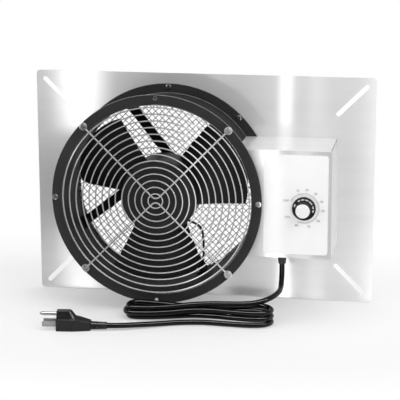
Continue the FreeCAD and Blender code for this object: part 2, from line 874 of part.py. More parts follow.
def spider_fasteners():
    screws = []
    nuts = []
    for index in range(ARM_COUNT):
        angle = spider_angle(index)
        way = radial(angle)
        x, y = on_circle("(duct_outer + running_gap)", angle)
        below = "duct_wall + running_gap * 2 + foot_wall + foot_nut_height"
        head = ("foot_head_radius", "foot_head_height")
        place = (x, y, "foot_level", way)
        screws.append(screw(f"foot_screw{index}", "foot_screw_radius", *head, below, *place))
        x, y = on_circle("(foot_radius - foot_wall - foot_nut_height - running_gap)", angle)
        bore = "foot_screw_radius + fit_gap"
        size_of = ("foot_nut_radius", bore, "foot_nut_height")
        nuts.append(nut(f"foot_nut{index}", *size_of, x, y, "foot_level", way))
    fan_node(group("foot_screw_set", screws), "bracket_screws")
    fan_node(group("foot_nut_set", nuts), "bracket_nuts")


def stator():
    profile = [
        ("bearing_radius", "spider_front"),
        ("base_radius", "spider_front"),
        ("base_radius", "base_front"),
        ("tube_radius", "base_front"),
        ("tube_radius", "tube_front"),
        ("bearing_radius", "tube_front"),
    ]
    body = turned("stator_base_body", profile)
    tools = []
    for index in range(ARM_COUNT):
        x, y = motor_screw_place(index)
        hole = ("motor_screw_radius + screw_gap", "motor_screw_bite + screw_gap")
        tools.append(cylinder(f"base_hole{index}", *hole, x, y, "spider_front"))
    fan_node(cut("base", body, tools), "stator_base")
    core = ring("core", "tube_radius + fit_gap", "core_radius", "core_length", "core_rear")
    fan_node(core, "stator_core")
    inner = "tube_radius + winding_bore"
    outer = "core_radius - winding_step"
    windings = [
        ring("rear_turns", inner, outer, "winding_length", "core_rear - winding_length"),
        ring("front_turns", inner, outer, "winding_length", "core_rear + core_length"),
    ]
    fan_node(group("windings", windings), "stator_windings")
    screws = []
    for index in range(ARM_COUNT):
        x, y = motor_screw_place(index)
        below = "spider_wall + motor_screw_bite"
        head = ("motor_head_radius", "motor_head_height")
        place = (x, y, "spider_rear", Vector(0, 0, -1))
        screws.append(screw(f"motor_screw{index}", "motor_screw_radius", *head, below, *place))
    fan_node(group("motor_screw_set", screws), "motor_screws")


def bearings():
    outer = "bearing_radius - fit_gap"
    inner = "shaft_radius + bearing_gap"
    levels = {
        "rear_bearing": "spider_front + bearing_inset",
        "front_bearing": "tube_front - bearing_inset - bearing_width",
    }
    for label, level in levels.items():
        fan_node(ring(label + "_ring", inner, outer, "bearing_width", level), label)


def rotor():
    boss = "(can_face - can_boss_length)"
    bore = "(shaft_radius + fit_gap)"
    profile = [
        ("0", "can_front"),
        ("can_radius", "can_front"),
        ("can_radius", "can_rear"),
        ("can_inside", "can_rear"),
        ("can_inside", "can_face"),
        ("can_boss_radius", "can_face"),
        ("can_boss_radius", boss),
        (bore, boss),
        (bore, "can_face"),
        ("0", "can_face"),
    ]
    body = turned("rotor_can_body", profile)
    round_body(body, "can_round", circle_at(size.can_radius, size.can_front))
    fan_node(body, "rotor_can")
    inner = "core_radius + air_gap"
    outer = f"{inner} + rotor_core_wall"
    level = "core_rear + core_length / 2 - rotor_core_length / 2"
    fan_node(ring("rotor_ring", inner, outer, "rotor_core_length", level), "rotor_core")
    rear = "(spider_front + shaft_inset)"
    shaft = cylinder("shaft", "shaft_radius", f"can_face - {rear}")
    fan_node(shaft, "motor_shaft", rear)


def blade_section(distance):
    """One flat section of a blade, at a distance from the axis, as a closed outline of arcs."""
    out = distance - size.can_radius / 2
    share = out / (size.blade_tip + size.blade_wall - size.can_radius / 2)
    hollow = 4 * share * (1 - share) * size.leading_hollow
    ahead = size.leading_root_half + size.leading_spread * out - hollow
    behind = size.blade_root_half + size.blade_spread * out
    middle_level = (size.blade_front + size.blade_rear) / 2
    rise = (size.blade_front - size.blade_rear) / 2
    leading = Vector(distance, -ahead, middle_level + rise - size.blade_wall / 2)
    trailing = Vector(distance, behind, middle_level - rise + size.blade_wall / 2)
    chord = (trailing - leading).normalize()
    normal = Vector(1, 0, 0).cross(chord)
    if normal.z < 0:
        normal = normal * -1
    offset = normal * (size.blade_wall / 2)
    crown = (leading + trailing) * 0.5 + normal * size.blade_camber
    front = Part.Arc(leading + offset, crown + offset, trailing + offset).toShape()
    rear = Part.Arc(trailing - offset, crown - offset, leading - offset).toShape()
    edges = [
        front,
        Part.LineSegment(trailing + offset, trailing - offset).toShape(),
        rear,
        Part.LineSegment(leading - offset, leading + offset).toShape(),
    ]
    return Part.Wire(edges)


def corner_waste():
    """What is cut away outside the round trailing corner of a blade's tip."""
    lean = math.atan(size.blade_spread)
    along = Vector(math.cos(lean), math.sin(lean), 0)
    outward = Vector(-math.sin(lean), math.cos(lean), 0)
    tip_middle = Vector(size.blade_tip - size.tip_curve, 0, 0)
    start = Vector(size.can_radius / 2, size.blade_root_half, 0) - outward * size.tip_corner
    offset = start - tip_middle
    reach = size.tip_curve - size.tip_corner
    shift = offset.dot(along)
    travel = math.sqrt(shift * shift + reach * reach - offset.dot(offset)) - shift
    heart = start + along * travel
    tipward = (heart - tip_middle).normalize()
    side = outward * (2 * size.tip_corner)
    end = tipward * (2 * size.tip_corner)
    outline = Part.makePolygon([heart, heart + side, heart + side + end, heart + end, heart])
    block = Part.Face(outline).extrude(Vector(0, 0, size.duct_front))
    return block.cut(Part.makeCylinder(size.tip_corner, size.duct_front, heart))


def blades():
    """Broad twisted blades, cut to the can at the root and to a round tip."""
    root = size.can_radius / 2
    beyond = size.blade_tip + size.blade_wall
    sections = [blade_section(distance) for distance in (root, (root + beyond) / 2, beyond)]
    blank = Part.makeLoft(sections, True, False)
    hub = Part.makeCylinder(size.can_radius + size.fit_gap, size.duct_front)
    middle = Vector(size.blade_tip - size.tip_curve, 0, 0)
    sweep = Part.makeCylinder(size.tip_curve, size.duct_front, middle)
    blade = blank.common(sweep).cut(hub).removeSplitter()
    blade = blade.cut(corner_waste()).removeSplitter()
    for index in range(BLADE_COUNT):
        turn = size.blade_turn + 360.0 / BLADE_COUNT * index
        fan_node(shaped(f"blade_shape{index + 1}", blade.copy()), f"blade_{index + 1}", turn=turn)


# Leads inside the duct


def motor_lead():
    """The supply lead, from the stator base over the bracket and through the duct into the box."""
    level = size.lead_level
    way = radial(size.lead_angle)
    across = radial(size.lead_angle + 90)
    wall = size.duct_radius
    start = radial(size.lead_angle + 24) * (size.base_radius + size.fit_gap)
    outside = way * (wall * 1.1)
    block_face = size.block_x - size.fan_x - size.fit_gap
    points = [
        start,
        start * 1.35,
        way * (wall * 0.64) + across * 10,
        way * (wall * 0.83),
        outside,
        Vector(block_face, outside.y, 0),
    ]
    points = [Vector(point.x, point.y, level) for point in points]
    path = rounded_path("motor_lead", points)
    lead = tube(path, size.lead_diameter)
    check_tube("motor_lead", lead, path, size.lead_diameter)
    fan_node(shaped("lead", lead), "motor_lead")


def duct_grommet():
    wall = "(duct_wall + running_gap)"
    neck = "grommet_radius - fit_gap"
    rim = "grommet_radius + grommet_rim"
    bore = "lead_diameter / 2 + fit_gap"
    profile = [
        (bore, "-grommet_rim_wall"),
        (rim, "-grommet_rim_wall"),
        (rim, "0"),
        (neck, "0"),
        (neck, wall),
        (rim, wall),
        (rim, f"{wall} + grommet_rim_wall"),
        (bore, f"{wall} + grommet_rim_wall"),
    ]
    body = turned("grommet_body", profile)
    body.Placement = Placement(Vector(), Rotation(UPRIGHT, radial(size.lead_angle)))
    x, y = on_circle("foot_radius", "lead_angle")
    move(body, x, y, "lead_level")
    fan_node(group("grommet", [body]), "duct_grommet")


def earth_wire():
    """The earth wire, from the stator base down to the nut of the lowest bracket foot."""
    low = size.lead_level
    high = size.foot_level
    foot = radial(spider_angle(2))
    nut_face = size.foot_radius - size.running_gap - size.foot_wall - size.foot_nut_height
    start = radial(-58) * (size.base_radius + size.fit_gap)
    route = [
        start,
        start * 1.25,
        Vector(39.5, -54.5, 0),
        Vector(45.5, -63, 0),
        Vector(47.5, -74, 0),
        Vector(46.5, -86, 0),
        foot * (nut_face - 4 * size.earth_diameter),
        foot * (nut_face - size.fit_gap),
    ]
    climb = len(route) - 3
    points = []
    for index, point in enumerate(route):
        share = min(max(index - 1, 0) / climb, 1.0)
        points.append(Vector(point.x, point.y, low + (high - low) * share))
    path = rounded_path("earth_wire", points)
    wire = tube(path, size.earth_diameter)
    check_tube("earth_wire", wire, path, size.earth_diameter)
    fan_node(shaped("earth", wire), "earth_wire")


# Control box and what it holds


def control_box():
    corner = ("box_left", "box_bottom", "box_depth - box_wall")
    front = box("box_front", "box_width", "box_height", "box_wall", *corner)
    length = "(box_width - box_wall - box_seam)"
    roof = box("box_roof", length, "box_wall", "box_depth", "box_left", "box_top - box_wall")
    floor = box("box_floor", length, "box_wall", "box_depth", "box_left", "box_bottom")
    side = box("box_side", "box_wall", "box_height", "box_depth", "box_right - box_wall", "box_bottom")
    tabs = []
    holes = []
    for index, (x, y) in enumerate(box_screw_places()):
        long_side = "box_tab_width" if index < 2 else "(box_tab_length + box_wall / 2)"
        short_side = "(box_tab_length + box_wall / 2)" if index < 2 else "box_tab_width"
        shift_x = "0" if index < 2 else "box_wall / 4"
        shift_y = ("box_wall / 4", "-box_wall / 4", "0")[index]
        left = f"{x} - {long_side} / 2 + {shift_x}"
        low = f"{y} - {short_side} / 2 + {shift_y}"
        tabs.append(box(f"box_tab{index}", long_side, short_side, "box_wall", left, low))
        radius = "box_screw_radius + screw_gap"
        holes.append(cylinder(f"box_tab_hole{index}", radius, "box_wall * 3", x, y, "-box_wall"))
    flange = "(mesh_wall + duct_wall + duct_gap)"
    tools = [
        fuse("duct_space", [
            cylinder("duct_space_wall", "box_clear", "box_depth * 2", "fan_x", "fan_height", "-box_wall"),
            cylinder("duct_space_flange", "flange_radius + duct_gap", flange, "fan_x", "fan_height"),
        ]),
        cylinder("knob_hole", "spindle_hole", "box_wall * 3", "knob_x", "knob_z",
                 "box_depth - box_wall * 2"),
        cylinder("gland_hole", "gland_neck_radius + screw_gap", "box_wall * 3", "gland_x",
                 "box_bottom - box_wall", "gland_reach", Vector(0, 1, 0)),
    ]
    for index, side_step in enumerate((-1, 1)):
        x = f"knob_x + {side_step} * stat_screw_spacing / 2"
        radius = "stat_screw_radius + screw_gap"
        level = "box_depth - box_wall * 2"
        tools.append(cylinder(f"stat_hole{index}", radius, "box_wall * 3", x, "knob_z", level))
    shell = fuse("box_shell", [front, roof, floor, side] + tabs)
    seams = [
        box("top_seam", "box_seam", "box_wall * 2", "box_depth - box_wall",
            "box_right - box_wall - box_seam", "box_top - box_wall * 1.5"),
        box("low_seam", "box_seam", "box_wall * 2", "box_depth - box_wall",
            "box_right - box_wall - box_seam", "box_bottom - box_wall * 0.5"),
    ]
    node(cut("box_cover", shell, tools + holes + seams), "control_box")


def box_screws():
    screws = []
    for index, (x, y) in enumerate(box_screw_places()):
        profile = [
            ("0", "-plate_wall"),
            ("box_screw_head", "-plate_wall"),
            ("box_screw_radius", "0"),
            ("box_screw_radius", "box_screw_length"),
            ("0", "box_screw_length"),
        ]
        body = turned(f"box_screw{index}", profile)
        move(body, x, y, "0")
        screws.append(body)
    node(group("box_screw_set", screws), "box_screws")


def label_plate():
    right = "(box_right - label_right)"
    left = "(box_left + label_left)"
    low = "(box_bottom + label_margin)"
    high = "(box_top - label_margin)"
    body = padded("label_blank", [(left, low), (right, low), (right, high), (left, high)], "label_wall")
    round_body(body, "label_corner", upright_edge)
    holes = [cylinder("label_knob_hole", "spindle_hole", "label_wall", "knob_x", "knob_z")]
    for index, side in enumerate((-1, 1)):
        x = f"knob_x + {side} * stat_screw_spacing / 2"
        radius = "stat_head_radius + screw_gap"
        holes.append(cylinder(f"label_screw_hole{index}", radius, "label_wall", x, "knob_z"))
    node(cut("label", body, holes), "label_plate", z="box_depth")


def humidistat():
    rear = "(box_depth - box_wall - stat_depth)"
    left = "knob_x - stat_width / 2"
    low = "knob_z - stat_width / 2"
    case = box("stat_case", "stat_width", "stat_width", "stat_depth", left, low, rear)
    front = "(box_depth - box_wall)"
    bore = "spindle_radius + running_gap"
    depth = "(spindle_inside + running_gap)"
    level = f"{front} - {depth}"
    holes = [cylinder("stat_bore", bore, depth, "knob_x", "knob_z", level)]
    screws = []
    for index, side in enumerate((-1, 1)):
        x = f"knob_x + {side} * stat_screw_spacing / 2"
        bite = "(stat_screw_bite + screw_gap)"
        radius = "stat_screw_radius + screw_gap"
        level = f"{front} - {bite}"
        holes.append(cylinder(f"stat_bite{index}", radius, bite, x, "knob_z", level))
        head = ("stat_head_radius", "label_wall + knob_gap / 4")
        below = "box_wall + stat_screw_bite"
        place = (x, "knob_z", "box_depth")
        screws.append(screw(f"stat_screw{index}", "stat_screw_radius", *head, below, *place))
    node(cut("stat", case, holes), "humidistat_body")
    node(group("stat_screw_set", screws), "humidistat_screws")
    spindle = cylinder("spindle", "spindle_radius", "spindle_inside + box_wall + spindle_outside")
    node(spindle, "humidistat_spindle", "knob_x", "knob_z", f"{front} - spindle_inside")


def knob():
    """The skirt and grip in one moulding, with a bright cap let into its front."""
    bore = "(spindle_radius + fit_gap)"
    depth = "(spindle_outside - label_wall - knob_gap + fit_gap)"
    profile = [
        ("0", depth),
        (bore, depth),
        (bore, "0"),
        ("skirt_radius", "0"),
        ("skirt_radius", "skirt_height - skirt_chamfer"),
        ("skirt_radius - skirt_chamfer", "skirt_height"),
        ("grip_base_radius", "skirt_height"),
        ("grip_top_radius", "knob_height"),
        ("0", "knob_height"),
    ]
    body = turned("knob_body", profile)
    node(body, "knob", "knob_x", "knob_z", "knob_rear")
    disc = turned("cap_body", [
        ("0", "0"),
        ("cap_radius", "0"),
        ("cap_radius", "cap_height - cap_chamfer"),
        ("cap_radius - cap_chamfer", "cap_height"),
        ("0", "cap_height"),
    ])
    node(disc, "knob_cap", "knob_x", "knob_z", "knob_rear + knob_height")


def box_contents():
    block = box("block", "block_width", "block_height", "block_depth")
    node(block, "terminal_block", "block_x", "block_bottom")
    up = Vector(0, 1, 0)
    level = "capacitor_level"
    place = ("capacitor_x", "capacitor_bottom", level, up)
    can = cylinder("can", "capacitor_radius", "capacitor_length", *place)
    node(group("capacitor", [can]), "run_capacitor")
    low = "capacitor_bottom + capacitor_length / 2 - clip_width / 2"
    inner = cylinder("clip_bore", "capacitor_radius + fit_gap", "clip_width", "capacitor_x", low, level, up)
    strap = cylinder("clip_strap", "capacitor_radius + fit_gap + clip_wall", "clip_width", "capacitor_x", low,
                     level, up)
    left = "capacitor_x - capacitor_radius - clip_ear"
    foot = box("clip_base", "2 * (capacitor_radius + clip_ear)", "clip_width", "clip_wall", left, low)
    node(cut("clip", fuse("clip_blank", [strap, foot]), [inner]), "capacitor_clip")


# Mains cord


def gland():
    """A tapered strain relief, clipped into the floor of the box, with its axis upright."""
    profile = [
        ("0", "-gland_length"),
        ("gland_tip_radius", "-gland_length"),
        ("gland_radius", "-gland_collar"),
        ("gland_collar_radius", "-gland_collar"),
        ("gland_collar_radius", "0"),
        ("gland_neck_radius", "0"),
        ("gland_neck_radius", "box_wall"),
        ("gland_collar_radius", "box_wall"),
        ("gland_neck_radius", "box_wall + gland_collar"),
        ("0", "box_wall + gland_collar"),
    ]
    node(turned("gland_body", profile), "strain_relief", "gland_x", "box_bottom", "gland_reach", Rotation())


def hank_entry():
    """The top end of the hank's tube, where the cord from the box joins it."""
    top = size.cord_diameter / 2 + LOOP_COUNT * size.layer_pitch
    return Vector(72, -117.5, top)


def hank_leaving():
    """The low end of the hank's tube, where the cord goes on to the plug."""
    near = size.hank_far - 2 * size.hank_right_radius
    return Vector(size.hank_right - size.cord_diameter, near, size.cord_diameter / 2)


def hank_way():
    """The direction in which the cord comes onto the hank."""
    return Vector(-0.94, -0.34, 0).normalize()


def cord_drop():
    entry = hank_entry()
    start = size.box_bottom - size.gland_length
    points = [
        Vector(size.gland_x, -size.gland_reach, start),
        Vector(size.gland_x, -size.gland_reach, 49.7),
        Vector(111.4, -54.2, 39.0),
        Vector(111.8, -64.8, 32.9),
        Vector(111.2, -80.0, 32.2),
        Vector(106.5, -94.5, 30.6),
        Vector(97.0, -106.0, 28.2),
        entry - hank_way() * 13.3,
        entry,
    ]
    path = rounded_path("cord_drop", points)
    drop = tube(path, size.cord_diameter)
    check_tube("cord_drop", drop, path, size.cord_diameter)
    node(shaped("drop", drop), "cord_drop", rotation=Rotation())


def hank_stations():
    """Points of the hank with their directions: loops that climb down along the near runs."""
    left = Vector(-1, 0, 0)
    right = Vector(1, 0, 0)
    radius = size.cord_diameter / 2
    near_left = size.hank_far - 2 * size.hank_left_radius
    near_right = size.hank_far - 2 * size.hank_right_radius
    entry = hank_entry()
    stations = [(entry, hank_way()), (entry + hank_way() * size.cord_diameter, hank_way())]
    fall = 1.5 * size.layer_pitch / (size.hank_right - size.hank_left)
    sloping = Vector(-1, 0, -fall).normalize()
    for layer in reversed(range(LOOP_COUNT)):
        level = radius + layer * size.layer_pitch
        middle = level + size.layer_pitch / 2
        stations += [
            (Vector(size.waist_x, size.waist_near, middle), sloping),
            (Vector(size.hank_left, near_left, level), left),
            (Vector(size.hank_left - size.hank_left_radius, size.hank_far - size.hank_left_radius, level),
             Vector(0, 1, 0)),
            (Vector(size.hank_left, size.hank_far, level), right),
            (Vector(size.waist_x, size.waist_far, level), right),
            (Vector(size.hank_right, size.hank_far, level), right),
            (Vector(size.hank_right + size.hank_right_radius, size.hank_far - size.hank_right_radius, level),
             Vector(0, -1, 0)),
            (Vector(size.hank_right, near_right, level), left),
        ]
    stations.append((hank_leaving(), left))
    return stations


def least_self_gap(path, diameter, step=2.0):
    """The least gap between stretches of the tube that aren't next to each other."""
    points = path.discretize(Distance=step)
    apart = int(6 * diameter / step)
    least = math.inf
    for index, point in enumerate(points):
        for other in points[index + apart:]:
            least = min(least, point.distanceToPoint(other))
    return least - diameter


def cord_hank():
    stations = hank_stations()
    edges = []
    for (start, start_way), (end, end_way) in zip(stations, stations[1:]):
        straight = (end - start).normalize()
        if straight.dot(start_way) > 1 - 1e-9 and straight.dot(end_way) > 1 - 1e-9:
            edges.append(Part.LineSegment(start, end).toShape())
        else:
            edges += biarc(start, start_way, end, end_way)
    path = Part.Wire(edges)
    hank = tube(path, size.cord_diameter)
    check_tube("cord_hank", hank, path, size.cord_diameter)
    print(f"cord_hank: least gap to itself {least_self_gap(path, size.cord_diameter):.2f}")
    node(shaped("hank", hank), "cord_hank", rotation=Rotation())


def plug_way():
    return radial(size.plug_turn)


def cord_lead():
    leaving = hank_leaving()
    level = size.cord_diameter / 2
    tail = Vector(size.plug_x, size.plug_y, size.plug_level)
    last_run = 15.0
    points = [
        leaving,
        Vector(62, leaving.y, level),
        Vector(43, -132.9, level),
        Vector(20, -131.4, level),
        Vector(-8, -137.0, level),
        Vector(-34, -147.5, level),
        Vector(-58, -160.5, level + 1.5),
        tail - plug_way() * last_run,
        tail,
    ]
    path = rounded_path("cord_lead", points)
    lead = tube(path, size.cord_diameter)
    check_tube("cord_lead", lead, path, size.cord_diameter)
    node(shaped("lead_cord", lead), "cord_lead", rotation=Rotation())


def plug_node(obj, label):
    """Set a plug piece, drawn along +X from the cord's end, on the floor in front of the fan."""
    node(obj, label, "plug_x", "0", "-plug_y", Rotation(UPRIGHT, size.plug_turn))


def hood_outline(length, width, level):
    """The outline of the plug's hood at one level, with straight sides and a round rear."""
    half = width / 2
    front = size.plug_face - size.hood_setback
    bend = front - length + half
    corners = [Vector(bend, half, level), Vector(front, half, level),
               Vector(front, -half, level), Vector(bend, -half, level)]
    edges = [Part.LineSegment(a, b).toShape() for a, b in zip(corners, corners[1:])]
    edges.append(Part.Arc(corners[-1], Vector(bend - half, 0, level), corners[0]).toShape())
    return Part.Wire(edges)


def plug_relief():
    """A tapered sleeve behind the plug, slotted on its four sides so that it bends."""
    sleeve = turned("relief_body", [
        ("0", "0"),
        ("plug_relief_tip", "0"),
        ("plug_relief_radius", "plug_relief_length"),
        ("0", "plug_relief_length"),
    ])
    slots = []
    for index in range(RELIEF_SLOT_COUNT):
        for side in range(4):
            shift = 0.5 * (side % 2)
            name = f"relief_slot{index}_{side}"
            slot = box(name, "plug_relief_radius", "relief_slot_height", "relief_slot_width")
            turn = Rotation(UPRIGHT, 90 * side)
            slot.Placement = Placement(Vector(), turn)
            inner = "(plug_relief_tip - relief_slot_depth)"
            x = f"{inner} * {round(math.cos(math.pi / 2 * side))}"
            y = f"{inner} * {round(math.sin(math.pi / 2 * side))}"
            x += f" + relief_slot_height / 2 * {round(math.sin(math.pi / 2 * side))}"
            y += f" - relief_slot_height / 2 * {round(math.cos(math.pi / 2 * side))}"
            move(slot, x, y, f"relief_slot_start + relief_slot_pitch * {index + shift}")
            slots.append(slot)
    relief = cut("relief", sleeve, slots)
    relief.Placement = Placement(Vector(), Rotation(UPRIGHT, Vector(1, 0, 0)))
    move(relief, "0", "0", "plug_level")
    plug_node(group("relief_set", [relief]), "plug_relief")


def plug():
    shoulder = "(plug_relief_length + plug_taper)"
    plan = padded("plug_plan", [
        ("plug_relief_length", "-plug_tail_width / 2"),
        (shoulder, "-plug_width / 2"),
        ("plug_face", "-plug_width / 2"),
        ("plug_face", "plug_width / 2"),
        (shoulder, "plug_width / 2"),
        ("plug_relief_length", "plug_tail_width / 2"),
    ], "plug_height")
    round_body(plan, "plug_corner", upright_edge)
    profile = doc.addObject("PartDesign::Body", "plug_side")
    sketch = sketch_on(profile, "XZ_Plane", "plug_side_outline")
    polygon(sketch, [
        ("plug_relief_length", "0"),
        ("plug_face", "0"),
        ("plug_face", "plug_height"),
        ("plug_face - hood_length", "plug_height"),
        ("plug_relief_length", "plug_tail_height"),
    ])
    pad = profile.newObject("PartDesign::Pad", "plug_side_pad")
    pad.Profile = sketch
    bind(pad, "Length", "plug_width")
    pad.Midplane = True
    top = size.plug_height + size.hood_height
    foot = (size.hood_length, size.hood_width)
    hood = Part.makeLoft([
        hood_outline(*foot, size.plug_height / 2),
        hood_outline(*foot, size.plug_height),
        hood_outline(size.hood_top_length, size.hood_top_width, top),
    ], True, True)
    members = [common("plug_base", plan, profile), shaped("plug_hood", hood)]
    plug_node(fuse("plug_moulding", members), "plug_body")
    prongs = []
    for index, side in enumerate((-1, 1)):
        low = f"{side} * prong_spacing / 2 - prong_wall / 2"
        level = "prong_level - prong_width / 2"
        place = ("plug_face", low, level)
        prongs.append(box(f"prong{index}", "prong_length", "prong_wall", "prong_width", *place))
    plug_node(group("prongs", prongs), "plug_blades")
    pin = turned("earth_pin_body", [
        ("0", "0"),
        ("earth_pin_radius", "0"),
        ("earth_pin_radius", "hood_setback + earth_pin_length - earth_pin_radius"),
        ("earth_pin_radius * 0.4", "hood_setback + earth_pin_length"),
        ("0", "hood_setback + earth_pin_length"),
    ])
    pin.Placement = Placement(Vector(), Rotation(UPRIGHT, Vector(1, 0, 0)))
    move(pin, "plug_face - hood_setback", "0", "prong_level + earth_pin_rise")
    plug_node(group("earth_pin", [pin]), "ground_pin")


def check_and_write():
    """Stop on any failed feature or bad shape, then write one file for each sub-part."""
    doc.recompute()
    for obj in doc.Objects:
        if "Invalid" in obj.State or "Error" in obj.State:
            raise RuntimeError(f"{obj.Name} failed: {obj.State}")
    for obj in nodes:
        if obj.Shape.isNull() or not obj.Shape.isValid() or not obj.Shape.Solids:
            raise RuntimeError(f"{obj.Label} has no sound solid")
    os.makedirs("parts", exist_ok=True)
    for obj in nodes:
        obj.Shape.exportStep(f"parts/{obj.Label}.step")
    print(f"{len(nodes)} sub-parts written")


def main():
    mounting_plate()
    rear_mesh()
    fan_duct()
    flange_rivets()
    guard_rings()
    guard_spokes()
    guard_fasteners()
    motor_spider()
    spider_fasteners()
    stator()
    bearings()
    rotor()
    blades()
    motor_lead()
    duct_grommet()
    earth_wire()
    control_box()
    box_screws()
    label_plate()
    humidistat()
    knob()
    box_contents()
    gland()
    cord_drop()
    cord_hank()
    cord_lead()
    plug_relief()
    plug()
    check_and_write()


main()
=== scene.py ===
"""Looks of a crawl space ventilation fan: its finishes, wire cloth, printed dial, cords and stage.

All lengths are in metres.
"""

import math

import bpy
from mathutils import Matrix, Vector


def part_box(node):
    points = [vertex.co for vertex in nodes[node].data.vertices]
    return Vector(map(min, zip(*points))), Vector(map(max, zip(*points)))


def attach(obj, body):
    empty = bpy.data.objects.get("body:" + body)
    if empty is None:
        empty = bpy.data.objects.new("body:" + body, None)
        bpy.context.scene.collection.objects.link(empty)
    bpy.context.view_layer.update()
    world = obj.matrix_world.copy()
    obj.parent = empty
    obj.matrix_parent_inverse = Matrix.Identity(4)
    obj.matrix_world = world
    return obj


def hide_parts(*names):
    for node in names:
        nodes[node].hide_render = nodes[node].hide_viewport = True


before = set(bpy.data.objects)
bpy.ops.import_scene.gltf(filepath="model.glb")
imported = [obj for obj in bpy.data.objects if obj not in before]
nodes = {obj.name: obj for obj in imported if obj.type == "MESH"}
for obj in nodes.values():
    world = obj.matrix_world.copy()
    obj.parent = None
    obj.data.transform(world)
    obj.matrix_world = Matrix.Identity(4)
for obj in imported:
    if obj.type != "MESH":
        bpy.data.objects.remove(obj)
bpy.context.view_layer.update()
PLATE_FRONT = 0.051225


def put_in_scene(thing):
    """Link an object into the scene."""
    bpy.context.scene.collection.objects.link(thing)


# Camera


CAMERA_PLACE = Vector((0.3513, -2.0066, 0.6315))
CAMERA_YAW = math.radians(9.83)
CAMERA_PITCH = math.radians(13.49)
CAMERA_ROLL = math.radians(-0.08)
CAMERA_LENS = 145.4
CAMERA_SENSOR = 36
CAMERA_CLIP_END = 60


def make_camera():
    """Place the camera where the photograph was taken from."""
    level = math.cos(CAMERA_PITCH)
    forward = Vector((-math.sin(CAMERA_YAW) * level, math.cos(CAMERA_YAW) * level, -math.sin(CAMERA_PITCH)))
    right = Vector((math.cos(CAMERA_YAW), math.sin(CAMERA_YAW), 0))
    above = right.cross(forward)
    side = math.cos(CAMERA_ROLL) * right + math.sin(CAMERA_ROLL) * above
    top = math.cos(CAMERA_ROLL) * above - math.sin(CAMERA_ROLL) * right
    turn = Matrix((side, top, -forward)).transposed()
    data = bpy.data.cameras.new("camera")
    data.sensor_width = CAMERA_SENSOR
    data.lens = CAMERA_LENS
    data.clip_end = CAMERA_CLIP_END
    camera = bpy.data.objects.new("camera", data)
    camera.matrix_world = Matrix.Translation(CAMERA_PLACE) @ turn.to_4x4()
    put_in_scene(camera)
    bpy.context.scene.camera = camera


# Material nodes


BROAD_GRAIN_RATIO = 12
BROAD_GRAIN_DETAIL = 3.0
# How alike the rounded and the true normal are, where an edge takes the full painted highlight and where it
# takes none.
FULL_HIGHLIGHT_LIKENESS = 0.80
NO_HIGHLIGHT_LIKENESS = 0.985
# The wave texture's scale for bands one metre apart.
WAVE_SCALE = 0.314
WAVE_DISTORTION = 0.6
LAYER_GRAIN = 500


def new_material(name):
    """A node material, its tree and its main shader."""
    material = bpy.data.materials.new(name)
    material.use_nodes = True
    return material, material.node_tree, material.node_tree.nodes["Principled BSDF"]


def coordinates(tree, stretch=(1, 1, 1)):
    """Places on the object in metres, stretched along the axes."""
    place = tree.nodes.new("ShaderNodeTexCoord")
    mapping = tree.nodes.new("ShaderNodeMapping")
    mapping.inputs["Scale"].default_value = stretch
    tree.links.new(place.outputs["Object"], mapping.inputs["Vector"])
    return mapping.outputs["Vector"]


def noise(tree, vector, scale, detail=4.0):
    """Soft noise with features one over the scale in size."""
    node = tree.nodes.new("ShaderNodeTexNoise")
    node.inputs["Scale"].default_value = scale
    node.inputs["Detail"].default_value = detail
    tree.links.new(vector, node.inputs["Vector"])
    return node.outputs["Fac"]


def spread(tree, value, low, high, start=0.3, end=0.7):
    """Stretch a value's range."""
    node = tree.nodes.new("ShaderNodeMapRange")
    node.inputs["From Min"].default_value = start
    node.inputs["From Max"].default_value = end
    node.inputs["To Min"].default_value = low
    node.inputs["To Max"].default_value = high
    tree.links.new(value, node.inputs["Value"])
    return node.outputs["Result"]


def between(tree, share, first, second):
    """Mix two colours."""
    node = tree.nodes.new("ShaderNodeMix")
    node.data_type = "RGBA"
    node.inputs["A"].default_value = (*first, 1)
    node.inputs["B"].default_value = (*second, 1)
    tree.links.new(share, node.inputs["Factor"])
    return node.outputs["Result"]


def rounded_normal(tree, edge):
    """The surface's normal with its edges rounded in the shading."""
    node = tree.nodes.new("ShaderNodeBevel")
    node.inputs["Radius"].default_value = edge
    return node.outputs["Normal"]


def raise_surface(tree, shader, height, depth, edge=0.0):
    """Bump the surface, and soften its edges in the shading."""
    node = tree.nodes.new("ShaderNodeBump")
    node.inputs["Distance"].default_value = depth
    tree.links.new(height, node.inputs["Height"])
    if edge:
        tree.links.new(rounded_normal(tree, edge), node.inputs["Normal"])
    tree.links.new(node.outputs["Normal"], shader.inputs["Normal"])


def painted_edge_highlight(tree, tone, edge, worn):
    """Paint a highlight into a colour along the edges, where a rounded normal leaves the true one."""
    surface = tree.nodes.new("ShaderNodeNewGeometry")
    likeness = tree.nodes.new("ShaderNodeVectorMath")
    likeness.operation = "DOT_PRODUCT"
    tree.links.new(rounded_normal(tree, edge), likeness.inputs[0])
    tree.links.new(surface.outputs["True Normal"], likeness.inputs[1])
    share = spread(tree, likeness.outputs["Value"], 1, 0, FULL_HIGHLIGHT_LIKENESS, NO_HIGHLIGHT_LIKENESS)
    node = tree.nodes.new("ShaderNodeMix")
    node.data_type = "RGBA"
    node.inputs["B"].default_value = (*worn, 1)
    tree.links.new(tone, node.inputs["A"])
    tree.links.new(share, node.inputs["Factor"])
    return node.outputs["Result"]


def set_sockets(shader, values):
    """Set the shader's own sockets, whose titles are written with underscores."""
    for title, value in values.items():
        shader.inputs[title.replace("_", " ")].default_value = value


